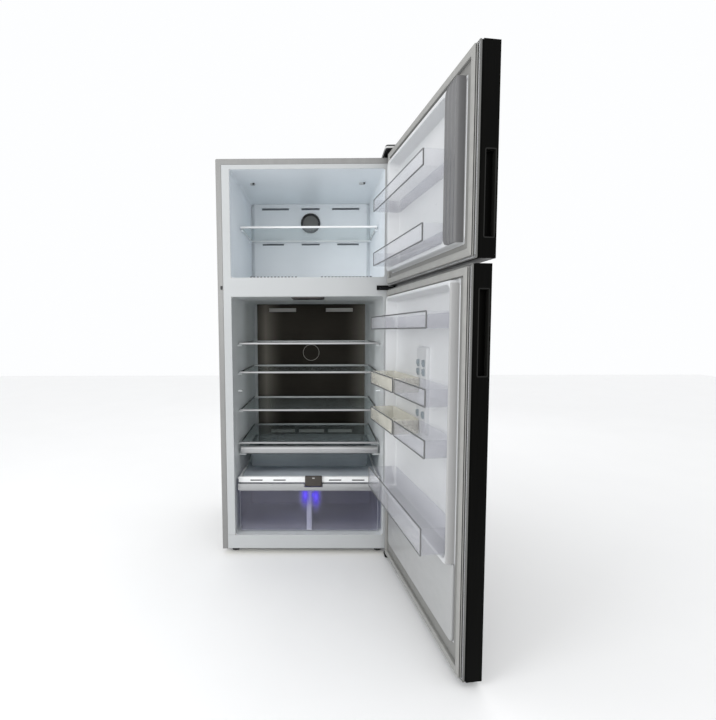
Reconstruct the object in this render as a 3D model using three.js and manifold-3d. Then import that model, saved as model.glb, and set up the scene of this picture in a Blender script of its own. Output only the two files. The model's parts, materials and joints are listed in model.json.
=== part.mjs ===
// A free-standing refrigerator with the freezer on top, both doors hung on the right and standing open.
// Millimetres, +Z up, -Y to the front. The origin is on the floor under the middle of the whole open
// object. Pieces are drawn where they sit in the cabinet, with the cabinet's front plane at y = 0, and
// the doors are drawn shut, then swung open about their pins.
import * as THREE from 'three';
import { mergeVertices } from 'three/addons/utils/BufferGeometryUtils.js';
import Module from 'manifold-3d';

const wasm = await Module();
wasm.setup();

// ---- Driving dimensions ----
const WIDTH = 830; // cabinet, over its side sheets
const BASE_Z = 25; // floor to the cabinet's lower edge
const TOP_Z = 1847; // the cabinet's top
const BACK_Y = 676; // rear edge of the side sheets
const SHEET = 3; // thickness of sheets and moulded walls
const GAP = 0.4; // clearance between pieces that touch
const FLANGE = 25; // the steel's return round the front

const OPENING = 353; // half the width of both openings
const INNER_HALF = 345; // half the width behind the step in the side walls
const STEP_Y = 225; // where the side walls step in
const LINER_BACK = 635; // inside face of the liners' back walls
const FREEZER_Z = [1317, 1801]; // freezer floor and ceiling
const FRIDGE_Z = [93, 1229]; // refrigerator floor and ceiling
const BAY = { y: 440, z: 262 }; // front and top of the compressor bay
const SHELF_FLOOR = { y: 415, z: 311 }; // where the refrigerator floor steps up over the bay

const DOOR_GAP = 12; // cabinet front to the doors' steel
const DOOR_THICK = 60;
const FREEZER_DOOR_Z = [1272, 1854];
const FRIDGE_DOOR_Z = [20, 1258];
const PIN = { x: WIDTH / 2 - 21, y: -(DOOR_GAP + 25), r: 5 }; // the hinge line of both doors
const FREEZER_OPEN = 99; // degrees each door stands open
const FRIDGE_OPEN = 98.3;
const CABINET_SHIFT = [-70, 80]; // puts the origin under the middle of the open object

const SHELF_FRONT = 110;
const SHELF_BACK = 575;
const SHELF_Z = [1010, 868, 680, 516]; // refrigerator shelves, from the top
const FREEZER_SHELF = { front: 200, back: 570, z: 1588 };
const SHELF_EDGE = 5; // half the height of a shelf's edge

const HALF = WIDTH / 2;

// ---- Materials ----
const paint = (color, roughness, metalness = 0, opacity = 1) =>
  new THREE.MeshStandardMaterial({ color, roughness, metalness, opacity, transparent: opacity < 1 });
const sideSteel = paint('#8e908e', 0.4, 0.9);
const zinc = paint('#a5a8aa', 0.5, 0.9);
const whitePlastic = paint('#e3e7e9', 0.35);
const linerPlastic = paint('#d5dde4', 0.35);
const foamed = paint('#e6dca8', 0.9);
const blackSteel = paint('#15161a', 0.35, 0.6);
const brownSteel = paint('#3d3831', 0.35, 0.8);
const silver = paint('#c9ccce', 0.3, 0.8);
const blackPlastic = paint('#151515', 0.5);
const darkPlastic = paint('#5c544e', 0.4);
const greyPlastic = paint('#8f9294', 0.5);
const softGrey = paint('#9b9b97', 0.7);
const clearPlastic = paint('#dfe8ec', 0.1, 0, 0.35);
const violetPlastic = paint('#b9b8cf', 0.15, 0, 0.5);
const clearGlass = paint('#cfe3e2', 0.05, 0, 0.3);
const castBlack = paint('#1b1c1e', 0.45, 0.5);
const copper = paint('#b87452', 0.35, 0.9);
const alloy = paint('#c2c6c8', 0.4, 0.9);

// ---- Solids ----

// A closed three.js geometry as a solid that can be joined and cut.
function solid(geometry) {
  const bare = geometry.clone();
  bare.deleteAttribute('normal');
  bare.deleteAttribute('uv');
  const merged = mergeVertices(bare);
  const triVerts = Uint32Array.from(merged.index.array);
  const vertProperties = Float32Array.from(merged.attributes.position.array);
  return new wasm.Manifold(new wasm.Mesh({ numProp: 3, vertProperties, triVerts }));
}

// A finished solid as a three.js geometry.
function toGeometry(manifold) {
  const { vertProperties, triVerts } = manifold.getMesh();
  const geometry = new THREE.BufferGeometry();
  geometry.setAttribute('position', new THREE.BufferAttribute(Float32Array.from(vertProperties), 3));
  geometry.setIndex(new THREE.BufferAttribute(Uint32Array.from(triVerts), 1));
  geometry.computeVertexNormals();
  return geometry;
}

// A block between low and high values on each axis.
function block([x0, x1], [y0, y1], [z0, z1]) {
  const geometry = new THREE.BoxGeometry(x1 - x0, y1 - y0, z1 - z0);
  return solid(geometry.translate((x0 + x1) / 2, (y0 + y1) / 2, (z0 + z1) / 2));
}

const both = (half) => [-half, half];
const join = (first, ...others) => others.reduce((sum, piece) => sum.add(piece), first);
const cut = (first, ...others) => others.reduce((rest, piece) => rest.subtract(piece), first);

// A body of revolution about the upright line through (x, y); the profile is [radius, height] from
// the foot of the line to its top.
function turned(profile, x, y, sides = 24) {
  const points = profile.map(([radius, height]) => new THREE.Vector2(radius, height));
  return solid(new THREE.LatheGeometry(points, sides).rotateX(Math.PI / 2).translate(x, y, 0));
}

// A round rod between two heights on the upright line through (x, y).
const rod = (x, y, radius, [z0, z1]) => turned([[0, z0], [radius, z0], [radius, z1], [0, z1]], x, y, 16);

// An open-topped tray: outer sides and height, with walls of one thickness.
function tray([x0, x1], [y0, y1], [z0, z1], wall) {
  const inside = block([x0 + wall, x1 - wall], [y0 + wall, y1 - wall], [z0 + wall, z1 + 10]);
  return cut(block([x0, x1], [y0, y1], [z0, z1]), inside);
}

function mesh(name, manifold, material) {
  const piece = new THREE.Mesh(toGeometry(manifold), material);
  piece.name = name;
  return piece;
}

// ---- Cabinet ----

// One folded sheet makes both sides, the top and the narrow return round the front.
function steelWrapper() {
  const outer = block(both(HALF), [0, BACK_Y], [BASE_Z, TOP_Z]);
  const inner = block(both(HALF - SHEET), [SHEET, BACK_Y + 1], [BASE_Z - 1, TOP_Z - SHEET]);
  const window = block(both(HALF - FLANGE), [-1, SHEET + 1], [BASE_Z - 1, TOP_Z - FLANGE]);
  const ridge = block([-170, 120], [30, 60], [TOP_Z - 1, TOP_Z + 4]); // stamped across the top
  return join(cut(outer, inner, window), ridge);
}

// The back sheet closes the cabinet above the compressor bay, stiffened by pressed ribs.
function backSheet() {
  const sheet = block(both(HALF), [BACK_Y + GAP, BACK_Y + SHEET], [BAY.z + 2, TOP_Z]);
  const rib = { half: 30, proud: 3, short: 80 };
  const ribs = [-240, 0, 240].map((x) => block([x - rib.half, x + rib.half],
    [BACK_Y + SHEET - 1, BACK_Y + SHEET + rib.proud], [BAY.z + rib.short, TOP_Z - rib.short]));
  return join(sheet, ...ribs);
}

// The moulded frame lies between the steel return and both openings, with the divider band across.
function frontFrame() {
  const plate = block(both(HALF - FLANGE - GAP), [0, SHEET], [FRIDGE_Z[0], TOP_Z - FLANGE - GAP]);
  const upper = block(both(OPENING), [-1, SHEET + 1], FREEZER_Z);
  const lower = block(both(OPENING), [-1, SHEET + 1], [FRIDGE_Z[0] - 1, FRIDGE_Z[1]]);
  return cut(plate, upper, lower);
}

const basePanel = () =>
  block(both(HALF - FLANGE - GAP), [0, SHEET], [BASE_Z + 2, FRIDGE_Z[0] - GAP]);

const LINER_HALF = OPENING + SHEET;
const LINER_FRONT = SHEET + GAP;

// Outer forms of the two liners, which the foam is cast round; grow adds clearance.
const freezerForm = (grow) =>
  block(both(LINER_HALF + grow), [LINER_FRONT - grow, LINER_BACK + SHEET + grow],
    [FREEZER_Z[0] - SHEET - grow, FREEZER_Z[1] + SHEET + grow]);
const fridgeForm = (grow) => join(
  block(both(LINER_HALF + grow), [LINER_FRONT - grow, LINER_BACK + SHEET + grow],
    [SHELF_FLOOR.z - SHEET - grow, FRIDGE_Z[1] + SHEET + grow]),
  block(both(LINER_HALF + grow), [LINER_FRONT - grow, SHELF_FLOOR.y + SHEET + grow],
    [FRIDGE_Z[0] - SHEET - grow, SHELF_FLOOR.z + SHEET]));

const LUG = { inner: 333, half: 11, high: 10 };

// Lugs on both side walls carry a plate whose underside is at height z.
function lugs(z, depths) {
  return [-1, 1].flatMap((side) => depths.map((y) => {
    const x = [side * LUG.inner, side * (OPENING + 1)].sort((a, b) => a - b);
    return block(x, [y - LUG.half, y + LUG.half], [z - GAP - LUG.high, z - GAP]);
  }));
}

function freezerLiner() {
  const front = block(both(OPENING), [0, STEP_Y + 1], FREEZER_Z);
  const rear = block(both(INNER_HALF), [STEP_Y, LINER_BACK], FREEZER_Z);
  return join(cut(freezerForm(0), front, rear), ...lugs(FREEZER_SHELF.z - SHELF_EDGE, [240, 530]));
}

const RAIL_Z = 457.6; // top of the chiller drawer's rails
const CRISPER_COVER = { front: 40, back: 575, z: 352 };

function fridgeLiner() {
  const front = block(both(OPENING), [0, STEP_Y + 1], FRIDGE_Z);
  const rear = block(both(INNER_HALF), [STEP_Y, LINER_BACK], [SHELF_FLOOR.z, FRIDGE_Z[1]]);
  const low = block(both(INNER_HALF), [STEP_Y, SHELF_FLOOR.y], [FRIDGE_Z[0], SHELF_FLOOR.z + 5]);
  const rails = [[-OPENING - 1, -316], [316, OPENING + 1]].map((x) =>
    block(x, [130, 540], [RAIL_Z - 8, RAIL_Z]));
  const shelfLugs = SHELF_Z.flatMap((z) => lugs(z - SHELF_EDGE, [150, 540]));
  const spareLugs = lugs(778, [150]);
  const coverLugs = lugs(CRISPER_COVER.z, [90, 400]);
  return join(cut(fridgeForm(0), front, rear, low), ...rails, ...shelfLugs, ...spareLugs, ...coverLugs);
}

// Foam fills all between the steel and the liners, and leaves the compressor bay free.
function insulatingFoam() {
  const fill = block(both(HALF - SHEET - GAP), [LINER_FRONT, BACK_Y],
    [BASE_Z + SHEET + GAP, TOP_Z - SHEET - GAP]);
  const bay = block(both(HALF), [BAY.y, BACK_Y + 1], [BASE_Z, BAY.z]);
  return cut(fill, freezerForm(GAP), fridgeForm(GAP), bay);
}

const FOOT = { x: [-360, 335], y: 50 };
const ROLLER = { x: [-350, 350], y: 630, r: 12, half: 10 };

// The bottom plate carries the compressor, the feet and the cheeks of the rear rollers.
function basePlate() {
  const plate = block(both(HALF - SHEET - GAP), [20, BACK_Y - 1], [BASE_Z, BASE_Z + SHEET]);
  const cheeks = ROLLER.x.flatMap((x) => [-1, 1].map((side) => {
    const across = [x + side * (ROLLER.half + 1), x + side * (ROLLER.half + 4)].sort((a, b) => a - b);
    return block(across, [ROLLER.y - 10, ROLLER.y + 10], [5, BASE_Z + 1]);
  }));
  const holes = ROLLER.x.map((x) => axle(x, 4.8, ROLLER.half + 8));
  return cut(join(plate, ...cheeks), ...holes);
}

// A level rod across the cabinet through a roller's centre.
const axle = (x, radius, half) => {
  const bar = new THREE.CylinderGeometry(radius, radius, 2 * half, 24).rotateZ(Math.PI / 2);
  return solid(bar.translate(x, ROLLER.y, ROLLER.r));
};
const roller = (x) => join(axle(x, ROLLER.r, ROLLER.half), axle(x, 4, ROLLER.half + 5));

const foot = (x) => turned([[0, 0], [18, 0], [18, 7], [9, 11], [6, 11], [6, 24.4], [0, 24.4]], x, FOOT.y);

// ---- Cooling ----

const COMPRESSOR = { x: -170, y: 560, r: 80 };

function compressor() {
  const shell = turned([[0, 36], [66, 36], [80, 54], [80, 142], [68, 170], [40, 184], [0, 188]],
    COMPRESSOR.x, COMPRESSOR.y);
  const rails = [-55, 55].map((x) => block([COMPRESSOR.x + x - 12, COMPRESSOR.x + x + 12],
    [COMPRESSOR.y - 95, COMPRESSOR.y + 95], [BASE_Z + SHEET + GAP, 40]));
  return join(shell, ...rails);
}

const dripPan = () => tray([-300, -40], [470, 650], [194, 222], 2.5);

// The condenser tube runs to and fro across the bay in level passes.
function condenserTube() {
  const points = [];
  for (let pass = 0; pass < 5; pass += 1) {
    const ends = pass % 2 ? [310, 40] : [40, 310];
    ends.forEach((x) => points.push(new THREE.Vector3(x, 560, 60 + pass * 36)));
  }
  const path = new THREE.CurvePath();
  for (let i = 1; i < points.length; i += 1) path.add(new THREE.LineCurve3(points[i - 1], points[i]));
  const route = new THREE.CatmullRomCurve3(path.getSpacedPoints(44), false, 'centripetal');
  const section = new THREE.Shape().absarc(0, 0, 5, 0, 2 * Math.PI);
  return solid(new THREE.ExtrudeGeometry(section, { steps: 56, curveSegments: 4, extrudePath: route }));
}

function compressorBayCover() {
  const sheet = block(both(HALF), [BACK_Y + GAP, BACK_Y + SHEET], [BASE_Z + 6, BAY.z]);
  const slots = [-300, -210, -120, 60, 150, 240].flatMap((x) => [80, 130, 180].map((z) =>
    block([x, x + 60], [BACK_Y - 1, BACK_Y + SHEET + 1], [z, z + 14])));
  return cut(sheet, ...slots);
}

const DUCT_FRONT = 578; // face of the freezer's duct cover

// A comb of upright fins on one back plate stands behind the freezer's duct cover.
function evaporator() {
  const plate = block(both(255), [DUCT_FRONT + 44, DUCT_FRONT + 48], [1336, 1590]);
  const fins = Array.from({ length: 18 }, (_, i) => -255 + i * (510 - 5) / 17).map((x) =>
    block([x, x + 5], [DUCT_FRONT + 12, DUCT_FRONT + 45], [1336, 1590]));
  return join(plate, ...fins);
}

const FAN_Z = 1690;

// The badge is a closed round cap in front of the fan; its rim stands a little proud of the cap.
function fanOutlet() {
  const profile = [[0, 0], [56, 0], [56, 9], [50, 12], [45, 9], [0, 9]];
  const cap = new THREE.LatheGeometry(profile.map(([r, h]) => new THREE.Vector2(r, h)), 36);
  return solid(cap.rotateX(Math.PI).translate(0, DUCT_FRONT - GAP, FAN_Z));
}

// A slotted cover: slots are [left, right] spans at each height.
function ductCover(half, [y0, y1], z, rows) {
  const slots = rows.flatMap(({ spans, low, high }) =>
    spans.map((x) => block(x, [y0 - 1, y1 + 1], [low, high])));
  return [block(both(half), [y0, y1], z), slots];
}

function freezerDuctCover() {
  const upper = { spans: [[-281, -125], [-52, 52], [125, 281]], low: 1766, high: 1777 };
  const lower = { spans: [[-279, -155], [-52, 52], [155, 279]], low: 1566, high: 1576 };
  const z = [FREEZER_Z[0] + 1, FREEZER_Z[1] - 1];
  const [plate, slots] = ductCover(325, [DUCT_FRONT, DUCT_FRONT + 6], z, [upper, lower]);
  return cut(plate, ...slots);
}

// The refrigerator's duct cover is one dark sheet with a pressed ring.
function fridgeDuctCover() {
  const upper = { spans: [[-246, -88], [88, 246]], low: 1183, high: 1204 };
  const lower = { spans: [[-242, -100], [-76, 76], [100, 242]], low: 462, high: 482 };
  const z = [SHELF_FLOOR.z + 2, FRIDGE_Z[1] - 2];
  const face = SHELF_BACK + 12;
  const [plate, slots] = ductCover(318, [face, face + 4], z, [upper, lower]);
  const profile = [[44, 0], [48, 0], [48, 3], [44, 3], [44, 0]];
  const ring = new THREE.LatheGeometry(profile.map(([r, h]) => new THREE.Vector2(r, h)), 32);
  return join(cut(plate, ...slots), solid(ring.rotateX(Math.PI).translate(0, face + 1, 943)));
}

// Hub and five pitched blades, turning about a level line from front to back.
function evaporatorFan() {
  const hub = solid(new THREE.CylinderGeometry(15, 15, 20, 20));
  const blades = Array.from({ length: 5 }, (_, i) => {
    const blade = new THREE.BoxGeometry(40, 2, 26).rotateX(THREE.MathUtils.degToRad(32));
    return solid(blade.translate(32, 0, 0).rotateY(i * 2 * Math.PI / 5));
  });
  return join(hub, ...blades);
}

const ceilingLamp = () => block(both(78), [22, 140], [FRIDGE_Z[1] - 7, FRIDGE_Z[1] - GAP]);

// ---- Shelves ----

const SHELF = { half: 342, frontBar: 13, rearBar: 9, sideBar: 4, plate: 2 };

// A moulded edge runs round the plate: a deep bar in front, a low one behind, thin ones at the sides.
function shelfEdge([y0, y1], z) {
  const outer = block(both(SHELF.half), [y0, y1], [z - SHELF_EDGE, z + SHELF_EDGE]);
  return cut(outer, block(both(SHELF.half - SHELF.sideBar), [y0 + SHELF.frontBar, y1 - SHELF.rearBar],
    [z - SHELF_EDGE - 1, z + SHELF_EDGE + 1]));
}
const shelfPlate = ([y0, y1], z) => block(both(SHELF.half - SHELF.sideBar - GAP),
  [y0 + SHELF.frontBar + GAP, y1 - SHELF.rearBar - GAP], [z - SHELF.plate, z + SHELF.plate]);

const COVER_HALF = 341;
const PLATE = { half: 330, y: [CRISPER_COVER.front + 18, CRISPER_COVER.back - 8] };

// The white frame of the crisper's cover has a tall front bar with four slots in it.
function crisperCoverFront() {
  const { front, back, z } = CRISPER_COVER;
  const frame = join(block(both(COVER_HALF), [front, back], [z, z + 10]),
    block(both(COVER_HALF), [front, front + 16], [338, 366]));
  const slots = [-254, -142, 128, 240].map((x) =>
    block([x - 30, x + 30], [front - 1, front + 9], [346, 352]));
  return cut(frame, block(both(PLATE.half), PLATE.y, [z - 1, z + 11]), ...slots);
}
const crisperCoverGlass = () => block(both(PLATE.half - GAP), [PLATE.y[0] + GAP, PLATE.y[1] - GAP],
  [CRISPER_COVER.z + 3, CRISPER_COVER.z + 7]);

const LAMP_X = [-18, 64]; // the crisper's lamp housing, a little right of the middle
const crisperLampHousing = () => block(LAMP_X, [28, CRISPER_COVER.front - GAP], [322, 372]);

// ---- Drawers ----

const SHELL = 3; // walls of drawers and bins
const CHILLER = { half: 296, front: 116, back: 536, z: [390, 460], rim: 326 };
const CHILLER_TOP = RAIL_Z + GAP + 4; // top of the rim

// The chiller drawer hangs by a wide rim on two rails.
function chillerDrawer() {
  const { half, front, back, z, rim } = CHILLER;
  const flange = cut(block(both(rim), [front, back], [RAIL_Z + GAP, CHILLER_TOP]),
    block(both(half - SHELL), [front + SHELL, back - SHELL], [RAIL_Z - 10, RAIL_Z + 10]));
  return join(tray(both(half), [front, back], z, SHELL), flange);
}
const chillerHandle = () =>
  block(both(341), [CHILLER.front - 12, CHILLER.front + 12], [CHILLER_TOP + GAP, 500]);

const CRISPER = { half: 338, front: 38.4, back: 408, z: [96, 334] };
const HANDLE_X = 343;
const notch = () => block([LAMP_X[0] - 3, LAMP_X[1] + 3], [20, 43], [318, 340]);

// Front and handle dip under the lamp housing, so that the drawer slides out below it.
const crisperDrawer = () => cut(
  tray(both(CRISPER.half), [CRISPER.front, CRISPER.back], CRISPER.z, SHELL), notch());
const crisperHandle = () =>
  cut(block(both(HANDLE_X), [28, CRISPER.front - GAP], [300, 335]), notch());
const crisperDivider = () => block([-12, 14],
  [CRISPER.front + SHELL + GAP + 1.5, CRISPER.back - SHELL - GAP],
  [CRISPER.z[0] + SHELL + GAP, 311]);

// ---- Hinges ----

function topHinge() {
  const arm = block([352, 408], [-58, 110], [1856, 1861]);
  const spacer = block([352, 408], [8, 110], [TOP_Z + GAP, 1857]);
  return join(arm, spacer, rod(PIN.x, PIN.y, PIN.r, [1836, 1857]));
}

// A cap with round corners over the top hinge.
function topHingeCover() {
  const outline = new THREE.Shape();
  const [x0, x1, y0, y1, r] = [346, 413, -64, 116, 12];
  outline.moveTo(x0 + r, y0).lineTo(x1 - r, y0).absarc(x1 - r, y0 + r, r, -Math.PI / 2, 0);
  outline.lineTo(x1, y1 - r).absarc(x1 - r, y1 - r, r, 0, Math.PI / 2);
  outline.lineTo(x0 + r, y1).absarc(x0 + r, y1 - r, r, Math.PI / 2, Math.PI);
  outline.lineTo(x0, y0 + r).absarc(x0 + r, y0 + r, r, Math.PI, 1.5 * Math.PI);
  const cap = new THREE.ExtrudeGeometry(outline, { depth: 20, bevelEnabled: false, curveSegments: 4 });
  return solid(cap.translate(0, 0, 1861 + GAP));
}

// Between the doors a flat arm carries a pin up into one door and down into the other.
function middleHinge() {
  const plate = block([318, 372], [-9, -GAP], [1257, 1277.5]);
  const arm = block([330, 403], [-46, -8], [1262, 1268]);
  return join(plate, arm, rod(PIN.x, PIN.y, PIN.r, [1244, 1286]));
}

function bottomHinge() {
  const arm = block([372, 404], [-46, 60], [10, 16]);
  const spacer = block([372, 404], [6, 60], [10, BASE_Z - GAP]);
  return join(arm, spacer, rod(PIN.x, PIN.y, PIN.r, [10, 42]));
}

// ---- Doors, drawn shut ----

const DOOR_BACK = -DOOR_GAP; // the doors' rear face
const DOOR_FRONT = -(DOOR_GAP + DOOR_THICK);
const HANDLE_Y = [DOOR_FRONT + 7, DOOR_BACK - 23]; // mouth of the handle recess in the free edge
const HANDLE_DEPTH = 22;

// Sheet steel on five sides, with the handle recess sunk in the free edge and a hole for each pin.
function doorSkin([z0, z1], handleZ) {
  const outer = block(both(HALF), [DOOR_FRONT, DOOR_BACK], [z0, z1]);
  const inner = block(both(HALF - SHEET), [DOOR_FRONT + SHEET, DOOR_BACK + 1], [z0 + SHEET, z1 - SHEET]);
  const [h0, h1] = handleZ;
  const pocket = block([-HALF, -HALF + HANDLE_DEPTH + SHEET],
    [HANDLE_Y[0] - SHEET, HANDLE_Y[1] + SHEET], [h0 - SHEET, h1 + SHEET]);
  const recess = block([-HALF - 1, -HALF + HANDLE_DEPTH], HANDLE_Y, handleZ);
  const hole = rod(PIN.x, PIN.y, PIN.r + 1.2, [z0 - 1, z1 + 1]);
  return cut(join(cut(outer, inner), pocket), recess, hole);
}

const RIM_TOP = 18; // how far a liner's rim enters the opening
const LOW_TOP = -2; // height of the shallow stretch
const DISH_FLOOR = -31;
const FREEZER_DISH = { x: [-262, 316], z: [1342, 1776] };
const FREEZER_RIM = [1325, 1793];
const FRIDGE_DISH = { x: [-332, 332], z: [362, 1206] };
const FRIDGE_RIM = [345, 1221];
const FRIDGE_LOW = 100; // lower edge of the refrigerator door's shallow stretch

// The liner is one formed sheet: a flat border, a raised rim that enters the opening, and a dish.
// low, where a door has it, is a shallow stretch under the rim.
function doorLiner([z0, z1], rim, dish, low) {
  const border = block(both(HALF - SHEET - GAP), [DOOR_BACK - SHEET, DOOR_BACK],
    [z0 + SHEET + GAP, z1 - SHEET - GAP]);
  const rimOuter = block(both(INNER_HALF), [DOOR_BACK - SHEET, RIM_TOP], rim);
  const rimInner = block(both(INNER_HALF - SHEET), [-60, RIM_TOP - SHEET], [rim[0] + SHEET, rim[1] - SHEET]);
  const dishOuter = block([dish.x[0] - SHEET, dish.x[1] + SHEET], [DISH_FLOOR - SHEET, RIM_TOP],
    [dish.z[0] - SHEET, dish.z[1] + SHEET]);
  const dishInner = block(dish.x, [DISH_FLOOR, RIM_TOP + 9], dish.z);
  let form = join(border, rimOuter);
  let hollow = rimInner;
  if (low) {
    form = join(form, block(both(INNER_HALF), [DOOR_BACK - SHEET, LOW_TOP], [low, rim[0] + 9]));
    hollow = join(hollow, block(both(INNER_HALF - SHEET), [-60, LOW_TOP - SHEET], [low + SHEET, rim[0] + 9]));
  }
  return cut(join(cut(form, hollow), dishOuter), dishInner);
}

// Foam behind a door liner, with room for the handle recess and the pins.
function doorFoam([z0, z1], handleZ, rim, dish, low) {
  const body = block(both(HALF - SHEET - GAP), [DOOR_FRONT + SHEET + GAP, DOOR_BACK - SHEET - GAP],
    [z0 + SHEET + GAP, z1 - SHEET - GAP]);
  const inset = SHEET + GAP;
  const rimFill = block(both(INNER_HALF - inset), [DOOR_BACK - 6, RIM_TOP - inset],
    [rim[0] + inset, rim[1] - inset]);
  const lowFill = low ? [block(both(INNER_HALF - inset), [DOOR_BACK - 6, LOW_TOP - inset],
    [low + inset, rim[0] + 9])] : [];
  const dishRoom = block([dish.x[0] - inset, dish.x[1] + inset], [DISH_FLOOR - inset, RIM_TOP + 9],
    [dish.z[0] - inset, dish.z[1] + inset]);
  const handleRoom = block([-HALF, -HALF + HANDLE_DEPTH + inset],
    [HANDLE_Y[0] - inset - 10, HANDLE_Y[1] + inset], [handleZ[0] - inset, handleZ[1] + inset]);
  const pinRoom = rod(PIN.x, PIN.y, PIN.r + 4, [z0, z0 + 60]); // around the lower pin
  const topRoom = rod(PIN.x, PIN.y, PIN.r + 4, [z1 - 60, z1]); // around the upper pin
  return cut(join(body, rimFill, ...lowFill), dishRoom, handleRoom, pinRoom, topRoom);
}

// A magnetic gasket runs round the border of each door. On the hinge side it keeps inside the pin's
// line, so that it swings clear of the cabinet.
function gasket([z0, z1]) {
  const inset = 7;
  const width = 24;
  const x = [-HALF + inset, PIN.x - 1];
  const z = [z0 + inset, z1 - inset];
  const ring = block(x, [DOOR_BACK + GAP, -GAP], z);
  return cut(ring, block([x[0] + width, x[1] - width], [DOOR_BACK, 0], [z[0] + width, z[1] - width]));
}

// Ribs on the freezer door's broad column by the free edge.
const columnRibs = () => [-333, -316, -299, -282].map((x) =>
  block([x, x + 7], [RIM_TOP - 1, RIM_TOP + 3], [FREEZER_DISH.z[0] + 6, FREEZER_DISH.z[1] - 6]));

const COLUMN_TOP = -20;

// The refrigerator door's middle column, on which the half-width bins hang.
const binColumn = () => block([-60, 44], [DISH_FLOOR - 1, COLUMN_TOP], [690, 1010]);

const bin = (x, y, z) => tray(x, y, z, SHELL);
const BIN_BACK = DISH_FLOOR + GAP;
const FREEZER_BIN = { x: [-256, 312], y: [BIN_BACK, 84], upper: [1572, 1624], lower: [1345, 1402] };
const WIDE_BIN_X = both(328);
const HALF_BIN = {
  hingeSide: [5, 328], freeSide: [-328, -14], y: [COLUMN_TOP + GAP, 86], upper: [838, 895], lower: [680, 738],
};
const FREEZER_HANDLE = [1330, 1568];
const FRIDGE_HANDLE = [940, 1187];

// ---- Assembly ----

const refrigerator = new THREE.Group();
refrigerator.position.set(CABINET_SHIFT[0], CABINET_SHIFT[1], 0);

refrigerator.add(
  mesh('steel_wrapper', steelWrapper(), sideSteel),
  mesh('back_sheet', backSheet(), zinc),
  mesh('front_frame', frontFrame(), whitePlastic),
  mesh('base_panel', basePanel(), whitePlastic),
  mesh('insulating_foam', insulatingFoam(), foamed),
  mesh('freezer_liner', freezerLiner(), linerPlastic),
  mesh('refrigerator_liner', fridgeLiner(), linerPlastic),
  mesh('base_plate', basePlate(), zinc),
  mesh('compressor', compressor(), castBlack),
  mesh('drip_pan', dripPan(), blackPlastic),
  mesh('condenser_tube', condenserTube(), copper),
  mesh('compressor_bay_cover', compressorBayCover(), zinc),
  mesh('evaporator', evaporator(), alloy),
  mesh('freezer_duct_cover', freezerDuctCover(), linerPlastic),
  mesh('fan_outlet', fanOutlet(), greyPlastic),
  mesh('refrigerator_duct_cover', fridgeDuctCover(), brownSteel),
  mesh('ceiling_lamp', ceilingLamp(), darkPlastic),
  mesh('top_hinge', topHinge(), blackSteel),
  mesh('top_hinge_cover', topHingeCover(), blackPlastic),
  mesh('middle_hinge', middleHinge(), blackSteel),
  mesh('bottom_hinge', bottomHinge(), blackSteel),
  mesh('crisper_cover_front', crisperCoverFront(), whitePlastic),
  mesh('crisper_cover_glass', crisperCoverGlass(), clearGlass),
  mesh('crisper_lamp_housing', crisperLampHousing(), darkPlastic),
);

const freezerSpan = [FREEZER_SHELF.front, FREEZER_SHELF.back];
refrigerator.add(
  mesh('freezer_shelf_edge', shelfEdge(freezerSpan, FREEZER_SHELF.z), whitePlastic),
  mesh('freezer_shelf_glass', shelfPlate(freezerSpan, FREEZER_SHELF.z), clearGlass),
);
SHELF_Z.forEach((z, i) => refrigerator.add(
  mesh(`refrigerator_shelf_${i + 1}_edge`, shelfEdge([SHELF_FRONT, SHELF_BACK], z), silver),
  mesh(`refrigerator_shelf_${i + 1}_glass`, shelfPlate([SHELF_FRONT, SHELF_BACK], z), clearGlass),
));

refrigerator.add(
  mesh('chiller_drawer', chillerDrawer(), clearPlastic),
  mesh('chiller_handle', chillerHandle(), silver),
  mesh('crisper_drawer', crisperDrawer(), violetPlastic),
  mesh('crisper_handle', crisperHandle(), silver),
  mesh('crisper_divider', crisperDivider(), whitePlastic),
  mesh('left_foot', foot(FOOT.x[0]), blackPlastic),
  mesh('right_foot', foot(FOOT.x[1]), blackPlastic),
  mesh('left_roller', roller(ROLLER.x[0]), blackPlastic),
  mesh('right_roller', roller(ROLLER.x[1]), blackPlastic),
);

const fan = mesh('evaporator_fan', evaporatorFan(), blackPlastic);
fan.position.set(0, DUCT_FRONT + 30, FAN_Z);
refrigerator.add(fan);

// A door's pieces, drawn shut, in a group that turns about the hinge line.
function hangDoor(degrees, pieces) {
  const shut = new THREE.Group();
  shut.position.set(-PIN.x, -PIN.y, 0);
  shut.add(...pieces);
  const door = new THREE.Group();
  door.position.set(PIN.x, PIN.y, 0);
  door.rotation.z = THREE.MathUtils.degToRad(degrees);
  door.add(shut);
  refrigerator.add(door);
}

hangDoor(FREEZER_OPEN, [
  mesh('freezer_door_skin', doorSkin(FREEZER_DOOR_Z, FREEZER_HANDLE), blackSteel),
  mesh('freezer_door_foam',
    doorFoam(FREEZER_DOOR_Z, FREEZER_HANDLE, FREEZER_RIM, FREEZER_DISH), foamed),
  mesh('freezer_door_liner',
    join(doorLiner(FREEZER_DOOR_Z, FREEZER_RIM, FREEZER_DISH), ...columnRibs()), whitePlastic),
  mesh('freezer_door_gasket', gasket(FREEZER_DOOR_Z), softGrey),
  mesh('freezer_bin_upper', bin(FREEZER_BIN.x, FREEZER_BIN.y, FREEZER_BIN.upper), clearPlastic),
  mesh('freezer_bin_lower', bin(FREEZER_BIN.x, FREEZER_BIN.y, FREEZER_BIN.lower), clearPlastic),
]);

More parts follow.
